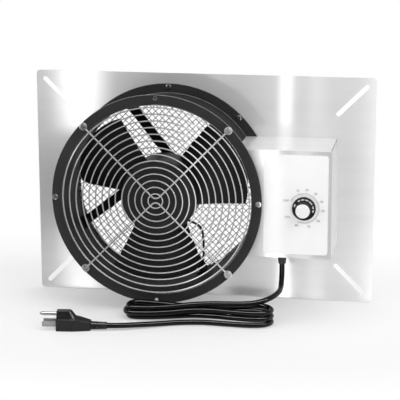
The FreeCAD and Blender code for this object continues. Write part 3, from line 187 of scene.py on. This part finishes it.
def finish(name, colour, shade, rough, grain, depth, stretch=(1, 1, 1), edge=0.0003, worn=None, **more):
    """A finish whose colour, gloss and surface vary with two sizes of grain."""
    material, tree, shader = new_material(name)
    vector = coordinates(tree, stretch)
    fine = noise(tree, vector, grain)
    broad = noise(tree, vector, grain / BROAD_GRAIN_RATIO, BROAD_GRAIN_DETAIL)
    tone = between(tree, spread(tree, broad, 0, 1), colour, shade)
    # A painted highlight: a lighter base colour along the edges, where a rounded rim would catch the light.
    if worn:
        tone = painted_edge_highlight(tree, tone, edge, worn)
    tree.links.new(tone, shader.inputs["Base Color"])
    tree.links.new(spread(tree, fine, *rough), shader.inputs["Roughness"])
    raise_surface(tree, shader, fine, depth, edge)
    set_sockets(shader, more)
    return material


def layered(name, colour, shade, rough, pitch, depth, axis, **more):
    """A stack of layers, or turns of wire, across one axis."""
    material, tree, shader = new_material(name)
    vector = coordinates(tree)
    wave = tree.nodes.new("ShaderNodeTexWave")
    wave.wave_type = "BANDS"
    wave.bands_direction = axis
    wave.inputs["Scale"].default_value = WAVE_SCALE / pitch
    wave.inputs["Distortion"].default_value = WAVE_DISTORTION
    tree.links.new(vector, wave.inputs["Vector"])
    tree.links.new(between(tree, wave.outputs["Fac"], shade, colour), shader.inputs["Base Color"])
    tree.links.new(spread(tree, noise(tree, vector, LAYER_GRAIN), *rough), shader.inputs["Roughness"])
    raise_surface(tree, shader, wave.outputs["Fac"], depth)
    set_sockets(shader, more)
    return material


# Finishes, one for each slot of the record and for each ink


def grey(level):
    """A colour without a tint."""
    return (level, level, level)


# Bright rolled sheet is a hazy metal with fine lines along it, under a smooth polished skin.
BRIGHT_SHEET = dict(
    colour=grey(0.79), shade=(0.76, 0.76, 0.765), rough=(0.57, 0.63), grain=900, depth=0.0000005,
    stretch=(0.02, 1, 1), edge=0.0004, Metallic=0.7, Coat_Weight=1.0, Coat_Roughness=0.06, Coat_IOR=2.5,
)
INK = dict(rough=(0.4, 0.5), grain=2500, depth=0.000004, edge=0)
FINISHES = {
    "plate_steel": BRIGHT_SHEET,
    "box_steel": BRIGHT_SHEET,
    "mesh_steel": dict(
        colour=grey(0.06), shade=grey(0.03), rough=(0.40, 0.55), grain=1500, depth=0.00003, edge=0,
        Metallic=0.6, Specular_IOR_Level=0.2,
    ),
    # The duct's edges take a painted highlight, a lighter base colour along the flanges' rims.
    "duct_paint": dict(
        colour=grey(0.032), shade=grey(0.027), rough=(0.55, 0.68), grain=700, depth=0.00002, edge=0.0008,
        worn=grey(0.85), Specular_IOR_Level=0.06,
    ),
    "bracket_paint": dict(
        colour=grey(0.005), shade=grey(0.004), rough=(0.42, 0.55), grain=700, depth=0.00002,
        Specular_IOR_Level=0.2,
    ),
    "can_paint": dict(
        colour=grey(0.024), shade=grey(0.020), rough=(0.42, 0.58), grain=900, depth=0.00002,
        Specular_IOR_Level=0.25,
    ),
    "blade_paint": dict(
        colour=grey(0.010), shade=grey(0.007), rough=(0.36, 0.48), grain=900, depth=0.00002,
        Specular_IOR_Level=0.3,
    ),
    "guard_wire": dict(
        colour=grey(0.90), shade=(0.82, 0.82, 0.83), rough=(0.16, 0.28), grain=1500, depth=0.000006, edge=0,
        Metallic=0.75,
    ),
    "bright_fastener": dict(
        colour=grey(0.66), shade=(0.50, 0.50, 0.51), rough=(0.18, 0.32), grain=1800, depth=0.00001,
        edge=0.0002, Metallic=1.0,
    ),
    "rivet_head": dict(
        colour=grey(0.42), shade=grey(0.30), rough=(0.16, 0.26), grain=1800, depth=0.00001, edge=0.0002,
        Metallic=1.0,
    ),
    "dark_fastener": dict(
        colour=grey(0.05), shade=grey(0.03), rough=(0.35, 0.5), grain=1500, depth=0.00001, edge=0.0002,
        Metallic=0.6,
    ),
    "motor_casting": dict(
        colour=grey(0.55), shade=(0.42, 0.42, 0.43), rough=(0.45, 0.65), grain=900, depth=0.00005,
        Metallic=1.0,
    ),
    "bearing_steel": dict(
        colour=(0.72, 0.72, 0.73), shade=(0.62, 0.62, 0.63), rough=(0.14, 0.24), grain=1500, depth=0.000004,
        stretch=(1, 12, 1), Metallic=1.0,
    ),
    "cord_pvc": dict(
        colour=grey(0.003), shade=grey(0.002), rough=(0.09, 0.14), grain=900, depth=0.00001, edge=0,
        Specular_IOR_Level=0.22,
    ),
    "earth_pvc": dict(
        colour=(0.004, 0.005, 0.004), shade=(0.003, 0.004, 0.003), rough=(0.36, 0.48), grain=900,
        depth=0.00002, edge=0, Specular_IOR_Level=0.2,
    ),
    "grommet_rubber": dict(
        colour=grey(0.010), shade=grey(0.008), rough=(0.55, 0.75), grain=900, depth=0.00005,
    ),
    "label_film": dict(
        colour=grey(0.90), shade=grey(0.88), rough=(0.28, 0.36), grain=600, depth=0.000006, edge=0.0001,
    ),
    "label_ink": dict(colour=grey(0.10), shade=grey(0.14), **INK),
    "scale_ink": dict(colour=(0.56, 0.57, 0.58), shade=(0.64, 0.65, 0.66), **INK),
    "mark_ink": dict(colour=grey(0.80), shade=grey(0.58), **INK),
    "stat_plastic": dict(
        colour=grey(0.06), shade=grey(0.045), rough=(0.45, 0.6), grain=900, depth=0.00004,
    ),
    "spindle_brass": dict(
        colour=(0.72, 0.50, 0.20), shade=(0.58, 0.39, 0.15), rough=(0.2, 0.35), grain=1500, depth=0.00001,
        Metallic=1.0,
    ),
    "knob_plastic": dict(
        colour=grey(0.012), shade=grey(0.009), rough=(0.30, 0.42), grain=1500, depth=0.00002,
        Specular_IOR_Level=0.2,
    ),
    "cap_aluminium": dict(
        colour=(0.88, 0.88, 0.89), shade=(0.84, 0.84, 0.85), rough=(0.30, 0.40), grain=1500, depth=0.000004,
        edge=0.0004, Metallic=0.3,
    ),
    "block_plastic": dict(
        colour=(0.78, 0.75, 0.66), shade=(0.70, 0.67, 0.58), rough=(0.4, 0.55), grain=700, depth=0.00004,
    ),
    "capacitor_can": dict(
        colour=(0.70, 0.70, 0.71), shade=(0.60, 0.60, 0.61), rough=(0.22, 0.36), grain=900, depth=0.00001,
        stretch=(1, 1, 0.1), Metallic=1.0,
    ),
    "gland_plastic": dict(
        colour=grey(0.010), shade=grey(0.009), rough=(0.4, 0.55), grain=900, depth=0.00004,
    ),
    "plug_pvc": dict(
        colour=grey(0.010), shade=grey(0.007), rough=(0.24, 0.34), grain=1200, depth=0.00003, edge=0.0012,
        Specular_IOR_Level=0.3,
    ),
    "prong_metal": dict(
        colour=(0.36, 0.357, 0.35), shade=(0.27, 0.268, 0.26), rough=(0.30, 0.42), grain=1200, depth=0.00001,
        edge=0.0002, Metallic=1.0,
    ),
}
LAYERED_FINISHES = {
    "lamination": dict(
        colour=(0.30, 0.30, 0.31), shade=(0.16, 0.16, 0.17), rough=(0.35, 0.5), pitch=0.0005, depth=0.00008,
        axis="Y", Metallic=1.0,
    ),
    "copper_winding": dict(
        colour=(0.62, 0.24, 0.08), shade=(0.36, 0.12, 0.04), rough=(0.25, 0.4), pitch=0.0006, depth=0.00015,
        axis="DIAGONAL", Metallic=0.8,
    ),
}
FINISH_OF = {
    "plate_steel": ["mounting_plate"],
    "box_steel": ["control_box"],
    "mesh_steel": ["rear_mesh", "capacitor_clip"],
    "duct_paint": ["fan_duct"],
    "bracket_paint": ["motor_spider"],
    "can_paint": ["rotor_can"],
    "blade_paint": ["blade_1", "blade_2", "blade_3"],
    "guard_wire": ["guard_rings", "guard_spokes"],
    "bright_fastener": ["guard_screws", "guard_nuts", "flange_screws", "box_screws", "humidistat_screws"],
    "rivet_head": ["flange_rivets"],
    "dark_fastener": ["bracket_screws", "bracket_nuts", "motor_screws"],
    "motor_casting": ["stator_base"],
    "lamination": ["stator_core", "rotor_core"],
    "copper_winding": ["stator_windings"],
    "bearing_steel": ["rear_bearing", "front_bearing", "motor_shaft"],
    "cord_pvc": ["motor_lead", "cord_drop", "cord_hank", "cord_lead"],
    "earth_pvc": ["earth_wire"],
    "grommet_rubber": ["duct_grommet"],
    "label_film": ["label_plate"],
    "stat_plastic": ["humidistat_body"],
    "spindle_brass": ["humidistat_spindle"],
    "knob_plastic": ["knob"],
    "cap_aluminium": ["knob_cap"],
    "block_plastic": ["terminal_block"],
    "capacitor_can": ["run_capacitor"],
    "gland_plastic": ["strain_relief"],
    "plug_pvc": ["plug_body", "plug_relief"],
    "prong_metal": ["plug_blades", "ground_pin"],
}


def make_finishes():
    """Make every finish, by name."""
    made = {name: finish(name, **values) for name, values in FINISHES.items()}
    for name, values in LAYERED_FINISHES.items():
        made[name] = layered(name, **values)
    return made


def dress_nodes(finishes):
    """Give every CAD node its finish."""
    for title, names in FINISH_OF.items():
        for name in names:
            nodes[name].data.materials.clear()
            nodes[name].data.materials.append(finishes[title])


def add_piece(name, vertices, faces, body, slot, finishes, ink=None, smooth=True):
    """Make a mesh piece that rides on a body, in its slot's finish or in an ink."""
    mesh = bpy.data.meshes.new(name)
    mesh.from_pydata(vertices, [], faces)
    mesh.validate()
    mesh.polygons.foreach_set("use_smooth", [smooth] * len(mesh.polygons))
    mesh.materials.append(finishes[ink or slot])
    piece = bpy.data.objects.new(name, mesh)
    put_in_scene(piece)
    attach(piece, body)
    return piece


# Cords, whose routes are listed point by point


CORD_RADIUS = 0.0035
CORD_ROUNDNESS = 5
CORD_STEPS = 10
MAINS_DROP = (
    (0.1112, -0.0480, 0.0620),
    (0.1112, -0.0480, 0.0497),
    (0.1114, -0.0542, 0.0390),
    (0.1118, -0.0648, 0.0329),
    (0.1112, -0.0800, 0.0322),
    (0.1065, -0.0945, 0.0306),
    (0.0970, -0.1060, 0.0282),
)
HANK_ENTRY = Vector((0.0720, -0.1175, 0.0260))
HANK_ENTRY_WAY = Vector((-0.94, -0.34, 0)).normalized()
HANK_ENTRY_STEPS = (-0.0133, 0.0, 0.0070)
# Each turn's height at the right and at the left, its extra width, and its back run's depth and height.
HANK_TURNS = (
    (0.0185, 0.0155, 0.0, -0.0975, 0.0122),
    (0.0110, 0.0095, 0.0035, -0.0935, 0.0062),
    (0.0035, 0.0035, 0.0, -0.1035, 0.0035),
)
FRONT_RUN_RISE = 0.00375
LEFT_FOLD_RISE = 0.0010
FLOOR_LEAD = (
    (0.0620, -0.1340, 0.0035),
    (0.0430, -0.1329, 0.0035),
    (0.0200, -0.1314, 0.0035),
    (-0.0080, -0.1370, 0.0035),
    (-0.0340, -0.1475, 0.0035),
    (-0.0580, -0.1605, 0.0050),
)
PLUG_TAIL = Vector((-0.0945, -0.1712, 0.0055))
PLUG_TURN = math.radians(186.0)
PLUG_TAIL_STEP = 0.0150
MOTOR_LEAD_RADIUS = 0.00225
MOTOR_LEAD_ROUTE = [
    (-0.01086, 0.033225, 0.17589), (0.00161, 0.033225, 0.18495), (0.02829, 0.033225, 0.17612),
    (0.05319, 0.033225, 0.17119), (0.08563, 0.033225, 0.17808), (0.10395, 0.033225, 0.17808),
]
EARTH_WIRE_RADIUS = 0.0015
EARTH_WIRE_ROUTE = [
    (-0.02316, 0.033225, 0.11264), (-0.01800, 0.033225, 0.10600), (-0.01000, 0.033000, 0.10380),
    (-0.00200, 0.032700, 0.09980), (0.00160, 0.032200, 0.09200), (0.00260, 0.031800, 0.08290),
    (0.00340, 0.031000, 0.06850), (0.00290, 0.030300, 0.05750), (0.00128, 0.029625, 0.04435),
]


def hank_turn(level, left_level, wider, back, back_level):
    """One turn of the hank, from its front run round the left fold, the back run and the right fold."""
    return [
        Vector((0.0150, -0.1130, level + FRONT_RUN_RISE)),
        Vector((-0.0300, -0.1195 - wider, left_level + LEFT_FOLD_RISE)),
        Vector((-0.0640, -0.1235 - wider, left_level)),
        Vector((-0.0760 - wider, -0.1215 - wider, left_level)),
        Vector((-0.0805 - wider, -0.1101, left_level)),
        Vector((-0.0760 - wider, -0.0987 + wider, left_level)),
        Vector((-0.0640, -0.0967 + wider, left_level)),
        Vector((0.0150, back, back_level)),
        Vector((0.0800, -0.0963, level)),
        Vector((0.1000, -0.1005, level)),
        Vector((0.1080, -0.1155, level)),
        Vector((0.1000, -0.1305, level)),
        Vector((0.0800, -0.1347, level)),
    ]


def mains_route():
    """The cord's route, from the strain relief through the hank to the plug's tail."""
    points = [Vector(place) for place in MAINS_DROP]
    points += [HANK_ENTRY + step * HANK_ENTRY_WAY for step in HANK_ENTRY_STEPS]
    for turn in HANK_TURNS:
        points += hank_turn(*turn)
    points += [Vector(place) for place in FLOOR_LEAD]
    plug_way = Vector((math.cos(PLUG_TURN), math.sin(PLUG_TURN), 0))
    points += [PLUG_TAIL - PLUG_TAIL_STEP * plug_way, PLUG_TAIL]
    return [point + Vector((0, PLATE_FRONT, 0)) for point in points]


def add_cord(name, points, radius, slot, finishes):
    """A round cord as one smooth spline along its route."""
    curve = bpy.data.curves.new(name, "CURVE")
    curve.dimensions = "3D"
    curve.bevel_depth = radius
    curve.bevel_resolution = CORD_ROUNDNESS
    curve.resolution_u = CORD_STEPS
    curve.use_fill_caps = True
    spline = curve.splines.new("NURBS")
    spline.points.add(len(points) - 1)
    for target, point in zip(spline.points, points):
        target.co = (*point, 1)
    spline.order_u = 3
    spline.use_endpoint_u = True
    curve.materials.append(finishes[slot])
    cord = bpy.data.objects.new(name, curve)
    put_in_scene(cord)
    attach(cord, "housing")
    return cord


def make_cords(finishes):
    """The mains cord on the floor, and the two leads inside the duct."""
    route = mains_route()
    mains = add_cord("mains_cord", route, CORD_RADIUS, "cord_pvc", finishes)
    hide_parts("cord_drop", "cord_hank", "cord_lead")
    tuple(route[0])
    lead = add_cord("motor_lead_cord", MOTOR_LEAD_ROUTE, MOTOR_LEAD_RADIUS, "cord_pvc", finishes)
    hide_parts("motor_lead")
    earth = add_cord("earth_lead_cord", EARTH_WIRE_ROUTE, EARTH_WIRE_RADIUS, "earth_pvc", finishes)
    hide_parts("earth_wire")


# Wire cloth behind the fan


FAN_CENTRE = Vector((-0.0465, 0, 0.150))
CLOTH_PITCH = 0.00635
CLOTH_WIRE = 0.00048
CLOTH_SWAY = 0.00008
CLOTH_INSET = 0.0005
CLOTH_STEPS = 4
TUBE_SIDES = 6
AHEAD = Vector((0, -1, 0))


def add_tube(vertices, faces, line, radius):
    """Add a thin closed tube along a line that lies nearly in the upright plane."""
    start = len(vertices)
    for index, point in enumerate(line):
        way = (line[min(index + 1, len(line) - 1)] - line[max(index - 1, 0)]).normalized()
        side = way.cross(AHEAD).normalized()
        out = side.cross(way)
        for corner in range(TUBE_SIDES):
            angle = 2 * math.pi * corner / TUBE_SIDES
            vertices.append(point + radius * (math.cos(angle) * side + math.sin(angle) * out))
    for index in range(len(line) - 1):
        row = start + index * TUBE_SIDES
        for corner in range(TUBE_SIDES):
            after = (corner + 1) % TUBE_SIDES
            faces.append((row + corner, row + after, row + TUBE_SIDES + after, row + TUBE_SIDES + corner))
    faces.append(tuple(start + corner for corner in reversed(range(TUBE_SIDES))))
    last = start + (len(line) - 1) * TUBE_SIDES
    faces.append(tuple(last + corner for corner in range(TUBE_SIDES)))


def make_cloth(finishes):
    """Square woven wire cloth, set on the diagonal between the plate and the duct."""
    low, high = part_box("rear_mesh")
    middle = (low.y + high.y) / 2
    reach = (high.x - low.x) / 2 - CLOTH_INSET
    count = int(reach / CLOTH_PITCH)
    vertices = []
    faces = []
    for slant, lift in ((math.radians(45), 1), (math.radians(135), -1)):
        along = Vector((math.cos(slant), 0, math.sin(slant)))
        across = Vector((-math.sin(slant), 0, math.cos(slant)))
        for number in range(-count, count + 1):
            offset = number * CLOTH_PITCH
            half = math.sqrt(reach ** 2 - offset ** 2)
            parts = int(half / CLOTH_PITCH * CLOTH_STEPS)
            line = []
            for part in range(-parts, parts + 1):
                place = part * CLOTH_PITCH / CLOTH_STEPS
                turn = math.pi * (part / CLOTH_STEPS + number)
                height = lift * CLOTH_SWAY * math.cos(turn)
                line.append(FAN_CENTRE + along * place + across * offset + Vector((0, middle + height, 0)))
            if len(line) > 2:
                add_tube(vertices, faces, line, CLOTH_WIRE)
    cloth = add_piece("wire_cloth", vertices, faces, "housing", "mesh_steel", finishes)
    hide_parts("rear_mesh")


# Print on the label and marks on the knob


DIAL_CENTRE = Vector((0.1428, 0, 0.1459))
SCALE_RADIUS = 0.0188
SCALE_WIDTH = 0.0018
SCALE_START = 153
SCALE_END = -113
TICK_HALF_ANGLE = 1.2
NUMBER_STEP = 10
NUMBER_RADIUS = 0.0242
NUMBER_ANGLES = (110, 82, 53, 23, -6, -40, -75, -112)
WORD_PLACES = {"OFF": (0.0246, 158), "ON": (0.0241, -150)}
TEXT_HEIGHT = 0.0042
PRINT_THICKNESS = 0.00006
ARC_STEP = 3
SKIRT_HEIGHT = 0.0034
MARK_RADIUS = 0.0122
MARK_WIDTH = 0.0017
MARK_SPANS = ((168, 150), (128, 112), (106, 86), (80, 62), (56, 30), (20, 4), (-4, -18))


def dial_point(radius, degrees, depth):
    """A place about the knob's axis, at a depth in the model's Y."""
    angle = math.radians(degrees)
    return DIAL_CENTRE + Vector((radius * math.cos(angle), depth, radius * math.sin(angle)))


def add_arc(vertices, faces, radius, width, start, end, front):
    """Add a thin raised band of print along an arc about the knob's axis."""
    steps = max(2, int(abs(end - start) / ARC_STEP))
    first = len(vertices)
    for step in range(steps + 1):
        degrees = start + (end - start) * step / steps
        for depth in (front, front + PRINT_THICKNESS):
            for side in (-0.5, 0.5):
                vertices.append(dial_point(radius + side * width, degrees, depth))
    for step in range(steps):
        near = first + 4 * step
        far = near + 4
        faces.append((near, near + 1, far + 1, far))
        faces.append((near + 2, far + 2, far + 3, near + 3))
        faces.append((near, far, far + 2, near + 2))
        faces.append((near + 1, near + 3, far + 3, far + 1))
    last = first + 4 * steps
    faces.append((first, first + 2, first + 3, first + 1))
    faces.append((last, last + 1, last + 3, last + 2))


def add_text(name, words, place, finishes):
    """A short printed word or number, centred on a place of the label."""
    curve = bpy.data.curves.new(name, "FONT")
    curve.body = words
    curve.size = TEXT_HEIGHT
    curve.align_x = "CENTER"
    curve.align_y = "CENTER"
    curve.extrude = PRINT_THICKNESS / 2
    curve.materials.append(finishes["label_ink"])
    text = bpy.data.objects.new(name, curve)
    text.location = place
    text.rotation_euler = (math.radians(90), 0, 0)
    put_in_scene(text)
    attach(text, "housing")


def make_scale(finishes):
    """The printed scale on the label, with its numbers and two words."""
    label_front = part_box("label_plate")[0].y
    front = label_front - PRINT_THICKNESS / 2
    vertices = []
    faces = []
    add_arc(vertices, faces, SCALE_RADIUS, SCALE_WIDTH, SCALE_START, SCALE_END, front)
    tick_radius = SCALE_RADIUS + SCALE_WIDTH
    for angle in NUMBER_ANGLES:
        start = angle + TICK_HALF_ANGLE
        end = angle - TICK_HALF_ANGLE
        add_arc(vertices, faces, tick_radius, SCALE_WIDTH, start, end, front)
    add_piece("dial_scale", vertices, faces, "housing", "label_film", finishes, "scale_ink", smooth=False)
    for index, angle in enumerate(NUMBER_ANGLES):
        number = str(NUMBER_STEP * (index + 1))
        add_text(f"dial_number_{number}", number, dial_point(NUMBER_RADIUS, angle, label_front), finishes)
    for words, (radius, angle) in WORD_PLACES.items():
        add_text(f"dial_word_{words.lower()}", words, dial_point(radius, angle, label_front), finishes)


def make_knob_marks(finishes):
    """Raised marks on the knob's skirt, which turn with it."""
    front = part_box("knob")[1].y - SKIRT_HEIGHT - PRINT_THICKNESS / 2
    vertices = []
    faces = []
    for start, end in MARK_SPANS:
        add_arc(vertices, faces, MARK_RADIUS, MARK_WIDTH, start, end, front)
    add_piece("knob_marks", vertices, faces, "dial", "knob_plastic", finishes, "mark_ink", smooth=False)


# Floor


FLOOR_REACH = 9.0
FLOOR_DROP = 0.0002
FLOOR_COLOUR = grey(0.87)
FLOOR_SHADE = grey(0.86)
FLOOR_GRAIN = 3.0
FLOOR_CENTRE = (-0.10, 0, 0)
FLOOR_GREY_REACH = (0.55, 0.26, 1)
FLOOR_FADE = (0.5, 1.0)
FLOOR_NEAR_WHITE = 0.35
FLOOR_WHITE_FADE = (0.6, 1.3)
FLOOR_WHITE = (0.90, 1.0)


def seen_share(tree):
    """One where the camera, a reflection or a see-through ray looks, and nought for light."""
    path = tree.nodes.new("ShaderNodeLightPath")
    seen = path.outputs["Is Camera Ray"]
    for title in ("Is Glossy Ray", "Is Transmission Ray"):
        either = tree.nodes.new("ShaderNodeMath")
        either.operation = "MAXIMUM"
        tree.links.new(seen, either.inputs[0])
        tree.links.new(path.outputs[title], either.inputs[1])
        seen = either.outputs[0]
    return seen


def distance_from_object(tree):
    """How far a place of the floor is from the object, one at the end of the grey part."""
    place = tree.nodes.new("ShaderNodeTexCoord")
    mapping = tree.nodes.new("ShaderNodeMapping")
    mapping.vector_type = "TEXTURE"
    mapping.inputs["Location"].default_value = FLOOR_CENTRE
    mapping.inputs["Scale"].default_value = FLOOR_GREY_REACH
    tree.links.new(place.outputs["Object"], mapping.inputs["Vector"])
    distance = tree.nodes.new("ShaderNodeVectorMath")
    distance.operation = "LENGTH"
    tree.links.new(mapping.outputs["Vector"], distance.inputs[0])
    return distance.outputs["Value"]


def floor_material():
    """Pale and matt near the object, where it takes the shadow, and white further away."""
    material, tree, shader = new_material("floor")
    shade = noise(tree, coordinates(tree), FLOOR_GRAIN)
    tree.links.new(between(tree, shade, FLOOR_COLOUR, FLOOR_SHADE), shader.inputs["Base Color"])
    shader.inputs["Roughness"].default_value = 0.6
    shader.inputs["Specular IOR Level"].default_value = 0.2
    distance = distance_from_object(tree)
    far = tree.nodes.new("ShaderNodeMapRange")
    far.interpolation_type = "SMOOTHSTEP"
    far.inputs["From Min"].default_value = FLOOR_FADE[0]
    far.inputs["From Max"].default_value = FLOOR_FADE[1]
    far.inputs["To Min"].default_value = FLOOR_NEAR_WHITE
    tree.links.new(distance, far.inputs["Value"])
    share = tree.nodes.new("ShaderNodeMath")
    share.operation = "MULTIPLY"
    tree.links.new(far.outputs["Result"], share.inputs[0])
    tree.links.new(seen_share(tree), share.inputs[1])
    white = tree.nodes.new("ShaderNodeEmission")
    tree.links.new(spread(tree, distance, *FLOOR_WHITE, *FLOOR_WHITE_FADE), white.inputs["Strength"])
    mix = tree.nodes.new("ShaderNodeMixShader")
    tree.links.new(share.outputs[0], mix.inputs["Fac"])
    tree.links.new(shader.outputs["BSDF"], mix.inputs[1])
    tree.links.new(white.outputs["Emission"], mix.inputs[2])
    tree.links.new(mix.outputs["Shader"], tree.nodes["Material Output"].inputs["Surface"])
    return material


def make_floor():
    """A pale floor that turns white away from the object."""
    mesh = bpy.data.meshes.new("floor")
    corners = [(-1, -1), (1, -1), (1, 1), (-1, 1)]
    mesh.from_pydata([(FLOOR_REACH * x, FLOOR_REACH * y, 0) for x, y in corners], [], [(0, 1, 2, 3)])
    mesh.materials.append(floor_material())
    floor = bpy.data.objects.new("floor", mesh)
    floor.location = (0, 0, -FLOOR_DROP)
    put_in_scene(floor)


# Studio sheets that only reflections show


CAMERA_AHEAD = PLATE_FRONT - CAMERA_PLACE.y
CARD_START = -0.60
CARD_STEP = 0.004
CARD_COUNT = 301
# Each row's distance ahead of the plate, its height, its share of the left strip, its lift and its low glow.
CARD_ROWS = (
    (0.004, 0.0004, 0.5, 0.26, -0.64),
    (0.034, 0.0004, 0.5, 0.26, -0.64),
    (0.052, 0.0004, 0.5, 0.26, 0.20),
    (0.0885, 0.0004, 0.5, 0.26, 0.20),
    (0.0885, 0.024, 0.7, 0.22, 0.20),
    (0.099, 0.034, 0.8, 0.18, 0.20),
    (0.099, 0.05, 0.8, 0.16, 0.20),
    (0.099, 0.07, 0.0, 0.0, 0.0),
    (0.099, 0.19, 0.0, 0.0, 0.0),
    (0.099, 0.21, 1.0, 0.0, 0.0),
    (0.099, 0.90, 1.0, 0.0, 0.0),
)
CARD_LEFT_TONE = 0.15
CARD_RIGHT_TONE = 0.42
CARD_BLEND_START = -0.06
CARD_BLEND_WIDTH = 0.09
# Each strip's centre, half width and strength.
CARD_LEFT_STRIP = (-0.165, 0.025, 3.0)
CARD_STRIPS = ((0.020, 0.014, 0.45), (0.150, 0.010, 0.50), (0.250, 0.026, 1.50))
CARD_TALL_STRIP = (0.108, 0.008, 2.6)
CARD_TALL_STRIP_SHIFT = 0.008
CARD_LOW_GLOW = (0.058, 0.036)
TENT_RADIUS = 1.1
TENT_CENTRE_Y = -0.05
TENT_HALF_WIDTH = 1.6
TENT_ANGLE_STEP = 1.5
TENT_ANGLE_COUNT = 84
TENT_TONE = 0.14
TENT_STRIP_ANGLE = 64
TENT_STRIP_HALF = 3.0
TENT_STRIP_TONE = 50.0


def glow_material(name):
    """A glow on the back of a sheet, as strong as each point's tone, while its front is clear."""
    material = bpy.data.materials.new(name)
    material.use_nodes = True
    tree = material.node_tree
    tree.nodes.clear()
    attribute = tree.nodes.new("ShaderNodeAttribute")
    attribute.attribute_name = "tone"
    glow = tree.nodes.new("ShaderNodeEmission")
    clear = tree.nodes.new("ShaderNodeBsdfTransparent")
    side = tree.nodes.new("ShaderNodeNewGeometry")
    mix = tree.nodes.new("ShaderNodeMixShader")
    output = tree.nodes.new("ShaderNodeOutputMaterial")
    tree.links.new(attribute.outputs["Fac"], glow.inputs["Strength"])
    tree.links.new(side.outputs["Backfacing"], mix.inputs["Fac"])
    tree.links.new(clear.outputs["BSDF"], mix.inputs[1])
    tree.links.new(glow.outputs["Emission"], mix.inputs[2])
    tree.links.new(mix.outputs["Shader"], output.inputs["Surface"])
    return material


def add_reflected(name, rows, tone):
    """A sheet through rows of points, whose tone is given for each row and column."""
    width = len(rows[0])
    vertices = [point for row in rows for point in row]
    faces = []
    for row in range(len(rows) - 1):
        for column in range(width - 1):
            corner = row * width + column
            faces.append((corner, corner + 1, corner + width + 1, corner + width))
    mesh = bpy.data.meshes.new(name)
    mesh.from_pydata(vertices, [], faces)
    tones = mesh.attributes.new("tone", "FLOAT", "POINT")
    for index in range(len(vertices)):
        tones.data[index].value = tone(index // width, index % width)
    mesh.materials.append(glow_material(name))
    sheet = bpy.data.objects.new(name, mesh)
    sheet.visible_camera = False
    sheet.visible_diffuse = False
    sheet.visible_shadow = False
    sheet.visible_transmission = False
    put_in_scene(sheet)


def hump(value, centre, half_width):
    """A smooth hump that is one at its centre and half that at its half width."""
    distance = abs(value - centre) / (2 * half_width)
    return 0.5 + 0.5 * math.cos(math.pi * min(distance, 1))


def make_card():
    """A bent card ahead of the plate, with light strips that the plate mirrors to the camera."""
    places = [CARD_START + CARD_STEP * step for step in range(CARD_COUNT)]
    middle = CAMERA_PLACE.x
    rows = []
    for ahead, height, *_ in CARD_ROWS:
        growth = 1 + ahead / CAMERA_AHEAD
        rows.append([(middle + (place - middle) * growth, PLATE_FRONT - ahead, height) for place in places])

    def tone(row, column):
        place = places[column]
        strip_share, lift, low_glow = CARD_ROWS[row][2:]
        right = min(max((place - CARD_BLEND_START) / CARD_BLEND_WIDTH, 0), 1)
        value = lift + CARD_LEFT_TONE + (CARD_RIGHT_TONE - CARD_LEFT_TONE) * right
        centre, half_width, strength = CARD_LEFT_STRIP
        value += strip_share * strength * hump(place, centre, half_width)
        centre, half_width, strength = CARD_TALL_STRIP
        shift = 0 if strip_share else CARD_TALL_STRIP_SHIFT
        value += strength * hump(place, centre + shift, half_width)
        value += low_glow * hump(place, *CARD_LOW_GLOW)
        for centre, half_width, strength in CARD_STRIPS:
            value += strength * hump(place, centre, half_width)
        return value

    add_reflected("card", rows, tone)


def make_tent():
    """A dim arch over the object with one bright strip, which glossy black and wire mirror."""
    angles = [TENT_ANGLE_STEP * step for step in range(TENT_ANGLE_COUNT)]
    rows = []
    for angle in angles:
        y = TENT_CENTRE_Y - TENT_RADIUS * math.cos(math.radians(angle))
        z = TENT_RADIUS * math.sin(math.radians(angle))
        rows.append([(x, y, z) for x in (-TENT_HALF_WIDTH, TENT_HALF_WIDTH)])

    def tone(row, column):
        return TENT_TONE + TENT_STRIP_TONE * hump(angles[row], TENT_STRIP_ANGLE, TENT_STRIP_HALF)

    add_reflected("tent", rows, tone)


# Light


# Each lamp's name, place, target, size and power.
LAMPS = (
    ("top", (0.1, 0.1, 1.8), (0, -0.05, 0), 1.0, 8),
    ("key", (1.5, -1.4, 2.0), (0, 0, 0.1), 1.2, 18),
    ("fill", (-1.8, -1.6, 1.2), (0, 0, 0.15), 1.6, 8),
)
WORLD_LIGHT = 0.78
WORLD_SEEN = 1.0


def add_lamp(name, place, target, size, power):
    """A soft square lamp aimed at a point."""
    data = bpy.data.lights.new(name, "AREA")
    data.size = size
    data.energy = power
    lamp = bpy.data.objects.new(name, data)
    lamp.location = place
    aim = Vector(target) - Vector(place)
    lamp.rotation_mode = "QUATERNION"
    lamp.rotation_quaternion = aim.to_track_quat("-Z", "Y")
    put_in_scene(lamp)


def make_world():
    """Soft light from all round, and white where the camera sees past the floor."""
    world = bpy.data.worlds.new("world")
    bpy.context.scene.world = world
    world.use_nodes = True
    tree = world.node_tree
    background = tree.nodes["Background"]
    background.inputs["Color"].default_value = (1, 1, 1, 1)
    strength = spread(tree, seen_share(tree), WORLD_LIGHT, WORLD_SEEN, 0, 1)
    tree.links.new(strength, background.inputs["Strength"])


def make_stage():
    """Floor, studio sheets, surroundings and lamps."""
    make_floor()
    make_card()
    make_tent()
    make_world()
    for lamp in LAMPS:
        add_lamp(*lamp)
    bpy.context.scene.view_settings.view_transform = "Standard"


make_camera()
finishes = make_finishes()
dress_nodes(finishes)
make_cords(finishes)
make_cloth(finishes)
make_scale(finishes)
make_knob_marks(finishes)
make_stage()
